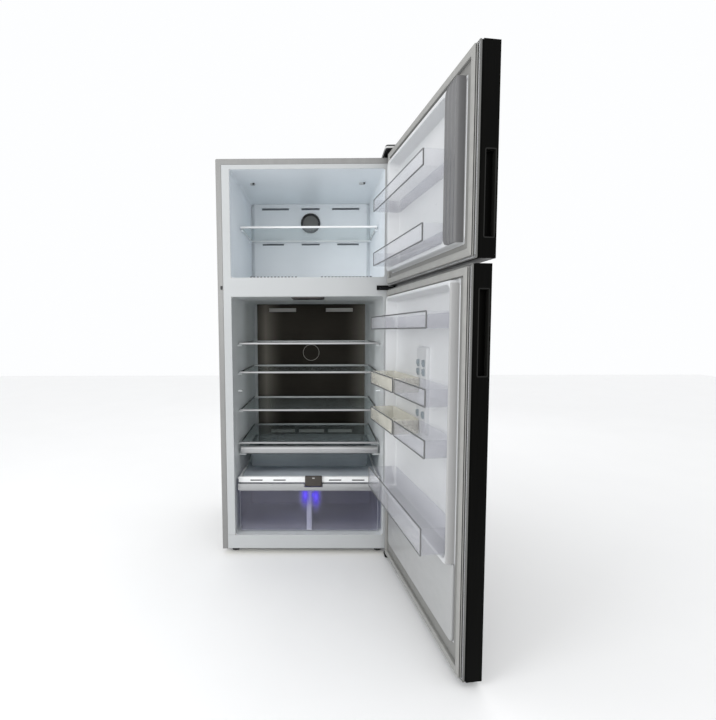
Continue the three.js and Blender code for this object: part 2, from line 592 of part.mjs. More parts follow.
hangDoor(FRIDGE_OPEN, [
  mesh('refrigerator_door_skin', doorSkin(FRIDGE_DOOR_Z, FRIDGE_HANDLE), blackSteel),
  mesh('refrigerator_door_foam',
    doorFoam(FRIDGE_DOOR_Z, FRIDGE_HANDLE, FRIDGE_RIM, FRIDGE_DISH, FRIDGE_LOW), foamed),
  mesh('refrigerator_door_liner',
    join(doorLiner(FRIDGE_DOOR_Z, FRIDGE_RIM, FRIDGE_DISH, FRIDGE_LOW), binColumn()), whitePlastic),
  mesh('refrigerator_door_gasket', gasket(FRIDGE_DOOR_Z), softGrey),
  mesh('door_bin_top', bin(WIDE_BIN_X, [BIN_BACK, 86], [1076, 1130]), clearPlastic),
  mesh('door_bin_upper_hinge_side', bin(HALF_BIN.hingeSide, HALF_BIN.y, HALF_BIN.upper), clearPlastic),
  mesh('door_bin_upper_free_side', bin(HALF_BIN.freeSide, HALF_BIN.y, HALF_BIN.upper), clearPlastic),
  mesh('door_bin_lower_hinge_side', bin(HALF_BIN.hingeSide, HALF_BIN.y, HALF_BIN.lower), clearPlastic),
  mesh('door_bin_lower_free_side', bin(HALF_BIN.freeSide, HALF_BIN.y, HALF_BIN.lower), clearPlastic),
  mesh('door_bin_bottom', bin(WIDE_BIN_X, [BIN_BACK, 94], [374, 464]), clearPlastic),
]);

export default refrigerator;
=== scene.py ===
import json
from collections import namedtuple
from math import cos, pi, radians, sin

import bmesh
import bpy
from mathutils import Matrix, Vector


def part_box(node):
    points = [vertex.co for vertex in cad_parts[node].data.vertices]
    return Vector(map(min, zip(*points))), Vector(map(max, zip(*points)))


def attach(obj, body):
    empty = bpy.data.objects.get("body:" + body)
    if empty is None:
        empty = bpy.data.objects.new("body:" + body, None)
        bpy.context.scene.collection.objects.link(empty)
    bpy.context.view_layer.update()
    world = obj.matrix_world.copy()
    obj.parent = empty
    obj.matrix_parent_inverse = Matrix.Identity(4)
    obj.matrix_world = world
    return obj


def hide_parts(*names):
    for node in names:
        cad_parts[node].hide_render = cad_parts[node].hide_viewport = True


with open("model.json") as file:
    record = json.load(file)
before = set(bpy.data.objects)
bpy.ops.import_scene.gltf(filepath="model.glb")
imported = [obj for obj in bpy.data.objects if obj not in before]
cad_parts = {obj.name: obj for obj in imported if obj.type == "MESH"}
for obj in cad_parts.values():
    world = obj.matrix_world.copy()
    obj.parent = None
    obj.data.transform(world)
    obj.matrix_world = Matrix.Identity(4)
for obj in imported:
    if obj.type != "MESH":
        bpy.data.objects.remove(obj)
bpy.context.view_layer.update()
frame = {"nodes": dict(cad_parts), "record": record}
scene = bpy.context.scene

# ---- Cabinet line, camera and room ----
# The cabinet is the refrigerator's fixed body, and everything is measured from it in millimetres:
# x from its middle, y from its front plane, z from the floor. The room is a pale studio.

MM = 0.001
steel_low, steel_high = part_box("steel_wrapper")
CABINET = Matrix.Translation(((steel_low[0] + steel_high[0]) / 2, steel_low[1], 0))


class Wire:
    """An output of a node in a material. Arithmetic on it adds Math nodes."""

    def __init__(self, material, socket=None):
        self.material = material
        self.tree = material.node_tree
        self.socket = socket

    def node(self, kind, settings=None, inputs=None, output=0):
        """Adds a node of that kind: its settings first, then the values or links of its sockets."""
        made = self.tree.nodes.new("ShaderNode" + kind)
        for key, value in (settings or {}).items():
            setattr(made, key, value)
        for key, value in (inputs or {}).items():
            if isinstance(value, Wire):
                self.tree.links.new(value.socket, made.inputs[key])
            else:
                made.inputs[key].default_value = value
        return Wire(self.material, made.outputs[output])

    def maths(self, operation, *values):
        return self.node("Math", {"operation": operation}, dict(enumerate(values)))

    def __add__(self, other):
        return self.maths("ADD", self, other)

    def __sub__(self, other):
        return self.maths("SUBTRACT", self, other)

    def __mul__(self, other):
        return self.maths("MULTIPLY", self, other)

    def __abs__(self):
        return self.maths("ABSOLUTE", self)

    def __mod__(self, other):
        return self.maths("FLOORED_MODULO", self, other)

    def vector(self, operation, first, second=None, output=0):
        inputs = {0: first} if second is None else {0: first, 1: second}
        return self.node("VectorMath", {"operation": operation}, inputs, output)

    def axis(self, place, letter):
        return self.node("SeparateXYZ", None, {"Vector": place}, letter)

    def fade(self, low, high, start=0.0, end=1.0):
        """Goes from start to end as the value goes from low to high."""
        span = {"From Min": low, "From Max": high, "To Min": start, "To Max": end}
        return self.node("MapRange", {"clamp": True}, {"Value": self, **span})

    def mix(self, first, second):
        """The first colour where this value is 0, the second where it is 1."""
        return self.node("Mix", {"data_type": "RGBA"}, {0: self, 6: first, 7: second}, output=2)

    def noise(self, place, scale, detail=3.0, stretch=(1, 1, 1)):
        """Noise over a place, finer along an axis that is stretched more."""
        spread = self.node("Mapping", None, {"Vector": place, "Scale": stretch})
        return self.node("TexNoise", None, {"Vector": spread, "Scale": scale, "Detail": detail})

    def bump(self, height, distance, strength=0.4):
        return self.node("Bump", None, {"Height": height, "Distance": distance, "Strength": strength})


def colour(red, green, blue):
    return (red, green, blue, 1.0)


def scaled(tint, factor):
    return colour(*(min(1.0, part * factor) for part in tint[:3]))


def new_material(name):
    """A wire to add an empty material's nodes with, and the place on the piece in metres."""
    material = bpy.data.materials.new(name)
    material.use_nodes = True
    material.node_tree.nodes.clear()
    wire = Wire(material)
    return wire, wire.node("TexCoord", output="Object")


def covered(shader):
    """The finished material, with that shader as its surface."""
    end = shader.tree.nodes.new("ShaderNodeOutputMaterial")
    shader.tree.links.new(shader.socket, end.inputs["Surface"])
    return shader.material


def painted(wire, tint, roughness, relief=None, others=None):
    """The finished material: one layered surface. A relief is a height, its distance and strength."""
    inputs = {"Base Color": tint, "Roughness": roughness, **(others or {})}
    if relief:
        inputs["Normal"] = wire.bump(*relief)
    return covered(wire.node("BsdfPrincipled", None, inputs))


def floor_material():
    wire, place = new_material("studio floor")
    cloud = wire.noise(place, 2.0)
    tint = cloud.mix(colour(0.91, 0.91, 0.91), colour(0.94, 0.94, 0.94))
    grain = wire.noise(place, 300)
    return painted(wire, tint, cloud.fade(0, 1, 0.6, 0.75), (grain, 0.0004))


floor_mesh = bpy.data.meshes.new("floor")
floor_mesh.from_pydata([(-9, -9, 0), (9, -9, 0), (9, 9, 0), (-9, 9, 0)], [], [(0, 1, 2, 3)])
floor_mesh.materials.append(floor_material())
floor = bpy.data.objects.new("floor", floor_mesh)
scene.collection.objects.link(floor)

EYE = Vector((0.0715, -2.1443, 1.0712))
TURN, TILT, ROLL = radians(-0.596), radians(4.455), radians(-0.182)
ahead = Vector((sin(TURN) * cos(TILT), cos(TURN) * cos(TILT), -sin(TILT)))
level_right = Vector((cos(TURN), -sin(TURN), 0))
level_up = level_right.cross(ahead)
right = level_right * cos(ROLL) + level_up * sin(ROLL)
up = level_up * cos(ROLL) - level_right * sin(ROLL)
lens = bpy.data.cameras.new("camera")
lens.lens = 23.04
lens.shift_x = 0.0549
lens.shift_y = 0.0093
camera = bpy.data.objects.new("camera", lens)
camera.matrix_world = CABINET @ Matrix.Translation(EYE) @ Matrix((right, up, -ahead)).transposed().to_4x4()
scene.collection.objects.link(camera)
scene.camera = camera
scene.view_settings.view_transform = "Standard"

sky = bpy.data.worlds.new("studio")
sky.use_nodes = True
sky.node_tree.nodes["Background"].inputs["Color"].default_value = colour(0.985, 0.992, 1.0)
sky.node_tree.nodes["Background"].inputs["Strength"].default_value = 1.0
scene.world = sky


def soft_lamp(name, place, target, size, watts, tint):
    """A square soft lamp at a place in metres, turned to a target."""
    lamp = bpy.data.lights.new(name, "AREA")
    lamp.size = size
    lamp.energy = watts
    lamp.color = tint
    holder = bpy.data.objects.new(name, lamp)
    aim = (Vector(target) - Vector(place)).to_track_quat("-Z", "Y").to_matrix().to_4x4()
    holder.matrix_world = Matrix.Translation(place) @ aim
    scene.collection.objects.link(holder)


soft_lamp("front_lamp", (-0.6, -3.6, 2.3), (-0.1, 0.3, 1.1), 2.2, 14, (1.0, 0.99, 0.975))
soft_lamp("left_lamp", (-2.6, -2.4, 1.8), (0.3, 0.0, 1.0), 1.6, 44, (0.97, 0.985, 1.0))
soft_lamp("rear_lamp", (1.2, 3.6, 2.6), (0.0, 0.4, 1.0), 2.0, 10, (1.0, 1.0, 1.0))

# ---- Outer steel ----
# One sheet of pre-coated steel, folded to make both sides and the top, with a narrow return round
# the front that the door gaskets hold to. The coating has a fine upright brushed grain.

PLACES = {}
SHARP = radians(32)


def stand(body):
    """Where a body's pieces are placed; the cabinet's line unless the body is a door."""
    return PLACES.get(body, CABINET)


def make(name, bm, material, replaces=(), bevel=0.0, segments=2, body="cabinet"):
    """Turns a mesh under construction into a piece that rides on a body."""
    bmesh.ops.remove_doubles(bm, verts=bm.verts, dist=1e-6)
    bmesh.ops.recalc_face_normals(bm, faces=bm.faces)
    mesh = bpy.data.meshes.new(name)
    bm.to_mesh(mesh)
    bm.free()
    return set_up(name, mesh, stand(body), body, material, replaces, bevel, segments)


def set_up(name, mesh, place, body, material, replaces, bevel, segments):
    """Shades a mesh, rounds its edges and puts it on its body."""
    mesh.polygons.foreach_set("use_smooth", [True] * len(mesh.polygons))
    mesh.set_sharp_from_angle(angle=SHARP)
    mesh.materials.clear()
    mesh.materials.append(material)
    piece = bpy.data.objects.new(name, mesh)
    scene.collection.objects.link(piece)
    piece.matrix_world = place
    if bevel:
        edges = piece.modifiers.new("rounded edges", "BEVEL")
        edges.width = bevel * MM
        edges.segments = segments
        edges.limit_method = "ANGLE"
        edges.angle_limit = SHARP
        edges.harden_normals = True
    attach(piece, body)
    if replaces:
        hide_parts(*replaces)
    return piece


AXES = {"x": lambda a, b, h: (h, a, b), "y": lambda a, b, h: (a, h, b), "z": lambda a, b, h: (a, b, h)}


def skin(bm, rings, along="z", joined=False):
    """Adds the surface through rings of (a, b) points, each at its own height along an axis."""
    turn = AXES[along]
    loops = [[bm.verts.new([part * MM for part in turn(a, b, height)]) for a, b in points]
             for points, height in rings]
    for low, high in zip(loops, loops[1:] + (loops[:1] if joined else [])):
        for i in range(len(low)):
            j = (i + 1) % len(low)
            bm.faces.new((low[i], low[j], high[j], high[i]))
    if not joined:
        bm.faces.new(loops[0])
        bm.faces.new(loops[-1])
    return bm


def form(rings, along="z", joined=False):
    """A new form through rings."""
    return skin(bmesh.new(), rings, along, joined)


def brushed(name, tint, roughness, grain_axis="z", metallic=0.9, streaks=0.12):
    """Metal with a fine grain along one axis, a little cloudy, with lighter and darker streaks."""
    wire, place = new_material(name)
    stretch = {"x": (1, 60, 60), "y": (60, 1, 60), "z": (60, 60, 1)}[grain_axis]
    hair = wire.noise(place, 12, 4, stretch)
    streak = wire.noise(place, 2.2, 3, [part / 4 for part in stretch])
    cloud = wire.noise(place, 3.5, 4)
    shade = hair * 0.5 + streak * 0.3 + cloud * 0.2
    tone = shade.fade(0.35, 0.65).mix(scaled(tint, 1 - streaks), scaled(tint, 1 + streaks))
    rough = (hair * 0.6 + cloud * 0.4).fade(0.3, 0.7, roughness - 0.06, roughness + 0.08)
    return painted(wire, tone, rough, (hair, 0.00002, 0.25), {"Metallic": metallic})


FOOT_Z, TOP_Z, BACK_Y = 25, 1847, 676
SIDE, FLANGE, SHEET = 415, 25, 3


def arch(thickness):
    """The outline of a sheet that goes up one side, over the top and down the other."""
    def path(inset, radius):
        half, top = SIDE - inset, TOP_Z - inset
        left = [(-half, FOOT_Z)]
        for i in range(6):
            t = pi - i * pi / 10
            left.append((-half + radius + radius * cos(t), top - radius + radius * sin(t)))
        return left + [(-x, z) for x, z in reversed(left)]
    return path(0, 6) + path(thickness, max(1.5, 6 - thickness))[::-1]


side_steel = brushed("side steel", (0.275, 0.275, 0.27), 0.42, metallic=0.7)
sheet = form([(arch(SHEET), BACK_Y), (arch(SHEET), SHEET), (arch(FLANGE), SHEET), (arch(FLANGE), 0)], "y")
make("outer_steel", sheet, side_steel, ["steel_wrapper"], 0.9)


def rounded(a0, a1, b0, b1, radius, steps=5):
    """A rectangle with round corners, as (a, b) points in millimetres."""
    points = []
    corners = ((a1, b1, -1, -1, 0), (a0, b1, 1, -1, 90), (a0, b0, 1, 1, 180), (a1, b0, -1, 1, 270))
    for a, b, inward_a, inward_b, start in corners:
        for i in range(steps + 1):
            t = radians(start + 90 * i / steps)
            points.append((a + radius * inward_a + radius * cos(t),
                           b + radius * inward_b + radius * sin(t)))
    return points


def block(a, b, layers, along="z", joined=False, steps=5, into=None):
    """A form through rectangles with round corners; a layer is its inset, radius and height."""
    rings = [(rounded(a[0] + inset, a[1] - inset, b[0] + inset, b[1] - inset, radius, steps), height)
             for inset, radius, height in layers]
    return skin(bmesh.new() if into is None else into, rings, along, joined)


ridge = block((-170, 120), (30, 60), [(0, 8, TOP_Z - 0.5), (0, 8, TOP_Z + 2.5), (3, 6, TOP_Z + 3.9)])
make("top_ridge", ridge, side_steel, bevel=0.5)

# ---- Back sheet and bay cover ----
# Thin galvanised steel, bare at the back, with broad pressed ribs. The lower cover screws on over
# the compressor and is slotted to let warm air out.


def galvanised():
    """Zinc-coated sheet with faint crystal spangle."""
    wire, place = new_material("galvanised sheet")
    crystal = wire.node("TexVoronoi", None, {"Vector": place, "Scale": 45.0}, output="Color")
    level = wire.node("SeparateColor", None, {"Color": crystal})
    dust = wire.noise(place, 6, 5)
    tone = (level * 0.35 + dust * 0.65).mix(colour(0.38, 0.39, 0.4), colour(0.6, 0.61, 0.62))
    rough = (level * 0.3 + dust * 0.7).fade(0, 1, 0.38, 0.6)
    return painted(wire, tone, rough, (dust, 0.0004, 0.2), {"Metallic": 0.85})


BODY_OF = {node: body for body, nodes in frame["record"]["behaviour"]["bodies"].items() for node in nodes}


def soften(name, node, material, bevel=1.0, segments=2, depth=None):
    """Stands for a CAD node with the same shape, flat faces made whole and edges rounded. With a
    depth, what lies behind it is left off."""
    bm = bmesh.new()
    bm.from_mesh(frame["nodes"][node].data)
    bmesh.ops.remove_doubles(bm, verts=bm.verts, dist=1e-5)
    bmesh.ops.dissolve_limit(bm, angle_limit=radians(1), verts=bm.verts, edges=bm.edges)
    body = BODY_OF[node]
    bm.transform(stand(body).inverted())
    if depth is not None:
        whole = bm.verts[:] + bm.edges[:] + bm.faces[:]
        cut = bmesh.ops.bisect_plane(bm, geom=whole, plane_co=(0, depth * MM, 0), plane_no=(0, 1, 0),
                                     clear_outer=True)["geom_cut"]
        bmesh.ops.bridge_loops(bm, edges=[edge for edge in cut if isinstance(edge, bmesh.types.BMEdge)])
    mesh = bpy.data.meshes.new(name)
    bm.to_mesh(mesh)
    bm.free()
    return set_up(name, mesh, stand(body), body, material, [node], bevel, segments)


zinc = galvanised()
soften("rear_sheet", "back_sheet", zinc, 0.8)
soften("bay_cover", "compressor_bay_cover", zinc, 0.6)
soften("bottom_plate", "base_plate", zinc, 0.6)


def round_points(a, b, radius, count):
    return [(a + radius * cos(2 * pi * i / count), b + radius * sin(2 * pi * i / count))
            for i in range(count)]


def turned(a, b, layers, along="z", count=16, joined=False, into=None):
    """A round form about a line; a layer is its radius and height."""
    rings = [(round_points(a, b, radius, count), height) for radius, height in layers]
    return skin(bmesh.new() if into is None else into, rings, along, joined)


screws = bmesh.new()
for x in (-395, -130, 130, 395):
    for z in (278, 1050, 1830):
        turned(x, z, [(5, BACK_Y + 2.6), (5, BACK_Y + 4.2), (3.4, BACK_Y + 5.2)], "y", into=screws)
make("rear_screws", screws, brushed("screw steel", (0.5, 0.5, 0.5), 0.35))

# ---- Front frame and base panel ----
# White gloss plastic mouldings that snap over the foam between the steel and the two compartments.
# The broad band between the compartments hides a heated divider.


def moulded(name, tint, roughness, coat=0.2, dust=0.1, shine=0.5):
    """Injection-moulded plastic: a very fine grain, slow shade drift and a little handling dust."""
    wire, place = new_material(name)
    drift = wire.noise(place, 2.5, 4)
    grain = wire.noise(place, 900, 2)
    smear = wire.noise(place, 14, 5, (1, 1, 2.5))
    tone = drift.fade(0.3, 0.7).mix(scaled(tint, 0.97), scaled(tint, 1.03))
    marked = (smear.fade(0.55, 0.8) * dust).mix(tone, scaled(tint, 0.82))
    rough = (grain * 0.3 + smear * 0.7).fade(0.3, 0.7, roughness - 0.05, roughness + 0.09)
    return painted(wire, marked, rough, (grain, 0.00006, 0.25), {
        "Specular IOR Level": shine, "Coat Weight": coat, "Coat Roughness": 0.15})


white_plastic = moulded("white frame plastic", (0.475, 0.49, 0.495), 0.3)
soften("white_front_frame", "front_frame", white_plastic, 1.3, 3)
soften("white_base_panel", "base_panel", white_plastic, 1.3, 3)

# ---- Foam ----
# Polyurethane foam poured between steel and liners. It sets hard, pale yellow and full of fine cells.


def foamed():
    wire, place = new_material("set foam")
    cell = wire.node("TexVoronoi", None, {"Vector": place, "Scale": 900.0})
    patch = wire.noise(place, 20, 4)
    tone = (cell * 0.5 + patch * 0.5).mix(colour(0.62, 0.55, 0.3), colour(0.85, 0.8, 0.58))
    return painted(wire, tone, patch.fade(0, 1, 0.8, 0.95), (cell, 0.0006, 0.5))


def dress(material, *nodes):
    """Gives CAD nodes whose shape is right a finished material."""
    for node in nodes:
        mesh = frame["nodes"][node].data
        mesh.materials.clear()
        mesh.materials.append(material)


set_foam = foamed()
dress(set_foam, "insulating_foam")

# ---- Freezer liner ----
# A white tub, vacuum-formed from one plastic sheet, with soft corners. Its side walls step in a hand's
# breadth behind the opening, and lugs on them carry the shelf. Small slots run along the floor's lip.

OUTER_HALF, OPEN_HALF, INNER_HALF, STEP_Y, LINER_BACK = 356, 353, 345, 225, 635
FREEZER_FLOOR, FREEZER_ROOF = 1317, 1801


def liner_plastic(name, tint):
    """Vacuum-formed sheet: glossy and slightly uneven."""
    wire, place = new_material(name)
    drift = wire.noise(place, 3, 4)
    ripple = wire.noise(place, 25, 2)
    tone = drift.fade(0.3, 0.7).mix(scaled(tint, 0.97), scaled(tint, 1.03))
    return painted(wire, tone, drift.fade(0, 1, 0.26, 0.4), (ripple, 0.0006, 0.12), {
        "Coat Weight": 0.15, "Coat Roughness": 0.2})


freezer_plastic = liner_plastic("freezer liner plastic", (0.8, 0.84, 0.875))
FRONT_Y = SHEET + 0.4


def level(half, floor, roof, grow, radius, y):
    return rounded(-half, half, floor - grow, roof + grow, radius), y


def tub_front(floor, roof):
    """Rings of a liner from its front edge in to the step in its side walls."""
    return [level(OUTER_HALF, floor, roof, 3, 16, FRONT_Y), level(OPEN_HALF, floor, roof, 0, 12, FRONT_Y),
            level(OPEN_HALF, floor, roof, 0, 12, 212), level(INNER_HALF, floor, roof, 0, 12, STEP_Y + 2)]


def tub_back(floor, roof):
    """Rings of a liner's round back edge and back wall."""
    return [level(INNER_HALF, floor, roof, 0, 12, 618), level(339, floor, roof, -6, 10, 630),
            level(328, floor, roof, -17, 8, LINER_BACK)]


freezer_tub = form([level(OUTER_HALF, FREEZER_FLOOR, FREEZER_ROOF, 3, 16, LINER_BACK + 3)]
                   + tub_front(FREEZER_FLOOR, FREEZER_ROOF) + tub_back(FREEZER_FLOOR, FREEZER_ROOF), "y")


def add_lugs(bm, height, depths):
    """Rounded lugs on both side walls, with their tops just under a shelf's edge."""
    for y in depths:
        outline = rounded(y - 11, y + 11, height - 10.4, height - 0.4, 4)
        small = rounded(y - 9.5, y + 9.5, height - 9, height - 1.8, 3)
        for side in (-1, 1):
            skin(bm, [(outline, side * 354.5), (outline, side * 335), (small, side * 333)], "x")


SHELF_EDGE = 5
FREEZER_SHELF_Z = 1588
add_lugs(freezer_tub, FREEZER_SHELF_Z - SHELF_EDGE, [240, 530])
make("freezer_tub", freezer_tub, freezer_plastic, ["freezer_liner"], 0.8)

pegs = bmesh.new()
for x in (-275, 265):
    block((x - 14, x + 12), (197, 211), [(0, 6, FREEZER_ROOF + 0.5), (0, 6, FREEZER_ROOF - 7),
                                         (3, 3.9, FREEZER_ROOF - 9)], into=pegs)
make("ceiling_pegs", pegs, white_plastic, bevel=0.4)
plugs = bmesh.new()
for x in (-272, 276):
    turned(x, 197, [(5, FREEZER_ROOF + 0.5), (5, FREEZER_ROOF - 8.5)], into=plugs)
dark_plastic_and_slot_shade = moulded("dark plastic and painted slot shade", (0.035, 0.038, 0.042), 0.4)
make("ceiling_screws", plugs, dark_plastic_and_slot_shade)
# Dark blocks along the floor's lip stand for its small slots: painted shade in the slot openings.
slot_shades = bmesh.new()
for first, last in ((-266, -44), (62, 288)):
    for x in range(first, last, 16):
        block((x, x + 9), (FREEZER_FLOOR - 0.4, FREEZER_FLOOR + 4.4), [(0, 1.2, 3.6), (0, 1.2, 7)], "y",
              steps=2, into=slot_shades)
make("floor_lip_slot_shade", slot_shades, dark_plastic_and_slot_shade)

# ---- Freezer duct cover, louvres and fan outlet ----
# A flat moulded cover stands in front of the evaporator. Cold air leaves by slots with a slanted blade
# in each. The round outlet cap has a black rim pressed over a grey satin face.

DUCT_FACE = 578
cover_plastic = moulded("duct cover plastic", (0.82, 0.85, 0.875), 0.36, 0.1)
soften("cold_air_cover", "freezer_duct_cover", cover_plastic, 1.2, 3)

skirt = form([(rounded(-324, 324, 1319, 1799, 8), DUCT_FACE + 1.2),
              (rounded(-328, 328, 1318, 1800, 10), DUCT_FACE + 3),
              (rounded(-331, 331, 1317.5, 1800.5, 10), DUCT_FACE + 7),
              (rounded(-345, 345, 1317.4, 1800.6, 9), DUCT_FACE + 20),
              (rounded(-345, 345, 1320, 1798, 8), DUCT_FACE + 23),
              (rounded(-326, 326, 1321, 1797, 8), DUCT_FACE + 8)], "y", joined=True)
make("cover_skirt", skirt, cover_plastic)

blades = bmesh.new()
for low, high, spans in ((1766, 1777, ((-281, -125), (-52, 52), (125, 281))),
                         (1566, 1576, ((-279, -155), (-52, 52), (155, 279)))):
    for left, right_end in spans:
        section = [(DUCT_FACE + 1.2, low + 1), (DUCT_FACE + 2.6, low + 0.4),
                   (DUCT_FACE + 6.5, high - 3.4), (DUCT_FACE + 5.3, high - 2.6)]
        skin(blades, [(section, left + 0.4), (section, right_end - 0.4)], "x")
# The blades are dark grey to stand for the shade in the slots: painted shade.
make("louvre_blades", blades,
     moulded("blade plastic and painted slot shade", (0.17, 0.185, 0.205), 0.4), bevel=0.3)

CAP_Z = 1690
rim = turned(0, CAP_Z, [(radius, DUCT_FACE - depth) for radius, depth in (
    (56, 0.5), (56, 9), (54, 11.4), (50, 12.2), (45.6, 11.2), (44.4, 8), (44.4, 0.5))], "y", 64, True)
make("outlet_rim", rim,
     moulded("black rim", (0.006, 0.006, 0.007), 0.45, 0.0), ["fan_outlet"])


def satin_face():
    """Grey metal-look face with a turned grain round its middle."""
    wire, place = new_material("satin outlet face")
    flat = wire.vector("MULTIPLY", wire.vector("SUBTRACT", place, (0, 0, CAP_Z * MM)), (1, 0, 1))
    reach = wire.vector("LENGTH", flat, output="Value")
    grooves = wire.node("TexNoise", {"noise_dimensions": "1D"}, {"W": reach * 900.0, "Scale": 1.0})
    tone = grooves.mix(colour(0.085, 0.088, 0.085), colour(0.15, 0.153, 0.147))
    return painted(wire, tone, grooves.fade(0, 1, 0.32, 0.48), (grooves, 0.0002, 0.2), {"Metallic": 0.6})


face = turned(0, CAP_Z, [(radius, DUCT_FACE - depth) for radius, depth in (
    (44, 0.6), (44, 6.6), (42.5, 7.6), (12, 8.2), (1, 8.4))], "y", 64)
make("outlet_face", face, satin_face())

# ---- Evaporator and fan ----
# Aluminium fins on tubes, with a five-bladed plastic fan above them that blows the cold air forwards.
# Both stand behind the freezer's cover.

alloy = brushed("fin alloy", (0.62, 0.63, 0.64), 0.35, "x", 0.95)
dress(alloy, "evaporator")
black_plastic = moulded("black plastic", (0.014, 0.014, 0.015), 0.42, 0.05)
dress(black_plastic, "evaporator_fan")

# ---- Refrigerator liner ----
# A second formed tub, deeper, whose floor steps up at the back over the compressor bay. Rails on its
# walls carry the chiller drawer, and lugs carry the shelves and the crisper's cover.

FRIDGE_FLOOR, FRIDGE_ROOF = 93, 1229
BAY_Y, BAY_FLOOR = 415, 311
fridge_plastic = liner_plastic("refrigerator liner plastic", (0.68, 0.705, 0.71))


fridge_tub = form([
    level(OUTER_HALF, BAY_FLOOR, FRIDGE_ROOF, 3, 16, LINER_BACK + 3),
    level(OUTER_HALF, BAY_FLOOR, FRIDGE_ROOF, 3, 16, BAY_Y + 3),
    level(OUTER_HALF, FRIDGE_FLOOR, FRIDGE_ROOF, 3, 16, BAY_Y + 2.9)]
    + tub_front(FRIDGE_FLOOR, FRIDGE_ROOF) + [
    level(INNER_HALF, FRIDGE_FLOOR, FRIDGE_ROOF, 0, 12, BAY_Y - 6),
    level(INNER_HALF, BAY_FLOOR - 8, FRIDGE_ROOF, 0, 12, BAY_Y),
    level(INNER_HALF, BAY_FLOOR, FRIDGE_ROOF, 0, 12, BAY_Y + 12)] + tub_back(BAY_FLOOR, FRIDGE_ROOF), "y")
SHELVES = (1010, 868, 680, 516)
COVER_Z = 352
for shelf_z in SHELVES:
    add_lugs(fridge_tub, shelf_z - SHELF_EDGE, [150, 540])
add_lugs(fridge_tub, 773 + SHELF_EDGE, [150])
add_lugs(fridge_tub, COVER_Z, [90, 400])
RAIL_Z = 457.6
for side in (-1, 1):
    block(sorted((side * 316, side * 354)), (RAIL_Z - 8, RAIL_Z), [(0, 2.5, 130), (0, 2.5, 540)], "y",
          into=fridge_tub)
make("refrigerator_tub", fridge_tub, fridge_plastic, ["refrigerator_liner"], 0.8)

# ---- Refrigerator duct cover and lamp ----
# A panel of dark brown steel with a brushed finish and painted light covers the air duct. Pale plastic
# grilles sit in its slots. The lamp is a smoked lens let into the ceiling near the front.

COVER_FACE = 587


def dark_brushed():
    """Brown-black steel, brushed across, with painted light: paler towards its sides and one soft upright
    painted highlight, a painted reflection.
    """
    wire, place = new_material("dark brushed steel")
    across = wire.axis(place, "X")
    hair = wire.noise(place, 14, 4, (1, 1, 70))
    cloud = wire.noise(place, 5, 4)
    # Painted reflection: a soft upright highlight left of the middle, and painted light growing towards the
    # right side.
    painted_sheen = abs(across + 0.268).fade(0.0, 0.11, 1.0, 0.0)
    painted_side_light = across.fade(0.19, 0.33)
    shade = painted_sheen * painted_sheen * 0.62 + painted_side_light * painted_side_light * 0.7 + hair * 0.08 + cloud * 0.08
    tone = shade.mix(colour(0.003, 0.0022, 0.001), colour(0.16, 0.148, 0.128))
    rough = (hair * 0.7 + cloud * 0.3).fade(0, 1, 0.28, 0.46)
    return painted(wire, tone, rough, (hair, 0.00003, 0.3), {"Metallic": 0.85, "Specular IOR Level": 0.2})


soften("brown_duct_panel", "refrigerator_duct_cover", dark_brushed(), 0.7, 3)
backing = form([(rounded(-317, 317, 314, 1226, 6), COVER_FACE + 1.5),
                (rounded(-320, 320, 312.6, 1227.6, 6), COVER_FACE + 5),
                (rounded(-324, 324, 312, 1228, 6), COVER_FACE + 46),
                (rounded(-320, 320, 315, 1225, 5), COVER_FACE + 46),
                (rounded(-314, 314, 317, 1223, 5), COVER_FACE + 5)], "y", joined=True)
make("duct_box_sides", backing, fridge_plastic)
pressed_ring = turned(0, 943, [(radius, COVER_FACE - depth) for radius, depth in (
    (48.4, 0.2), (48.2, 1.6), (47.2, 2.4), (46, 2.4), (45, 1.6), (44.8, 0.2))], "y", 64, True)
make("pressed_ring", pressed_ring,
     brushed("pale ring steel", (0.32, 0.31, 0.28), 0.35, "x"))
grilles = bmesh.new()
for low, high, spans in ((1183, 1204, ((-246, -88), (88, 246))),
                         (462, 482, ((-242, -100), (-76, 76), (100, 242)))):
    for left, right_end in spans:
        block((left, right_end), (low, high), [
            (0.6, 3, COVER_FACE + 8), (0.6, 3, COVER_FACE + 0.4), (4, 2, COVER_FACE + 0.4),
            (4, 2, COVER_FACE + 6)], "y", into=grilles)
make("duct_grilles", grilles,
     moulded("pale grille plastic", (0.36, 0.35, 0.33), 0.35), bevel=0.4)

lamp_glass = block((-78, 78), (22, 140), [(0, 9, FRIDGE_ROOF - 0.4), (0, 9, FRIDGE_ROOF - 4.5),
                                          (4, 7, FRIDGE_ROOF - 6.9)])


def smoked_lens():
    """Smoked lens with fine ribs inside it across its width."""
    wire, place = new_material("smoked lens")
    ribs = abs((wire.axis(place, "X") % 0.006) - 0.003) * 330.0
    grain = wire.noise(place, 60, 3)
    tone = (ribs * 0.7 + grain * 0.3).mix(colour(0.035, 0.032, 0.03), colour(0.1, 0.095, 0.09))
    return painted(wire, tone, grain.fade(0, 1, 0.14, 0.24), (ribs, 0.0003, 0.3), {"Coat Weight": 0.5})


make("ceiling_lens", lamp_glass, smoked_lens(), ["ceiling_lamp"], 0.5)

# ---- Top hinge ----
# A black steel plate screwed to the top carries the upper pin. A plastic cap covers it, with a pale
# grey lid let into its front half.

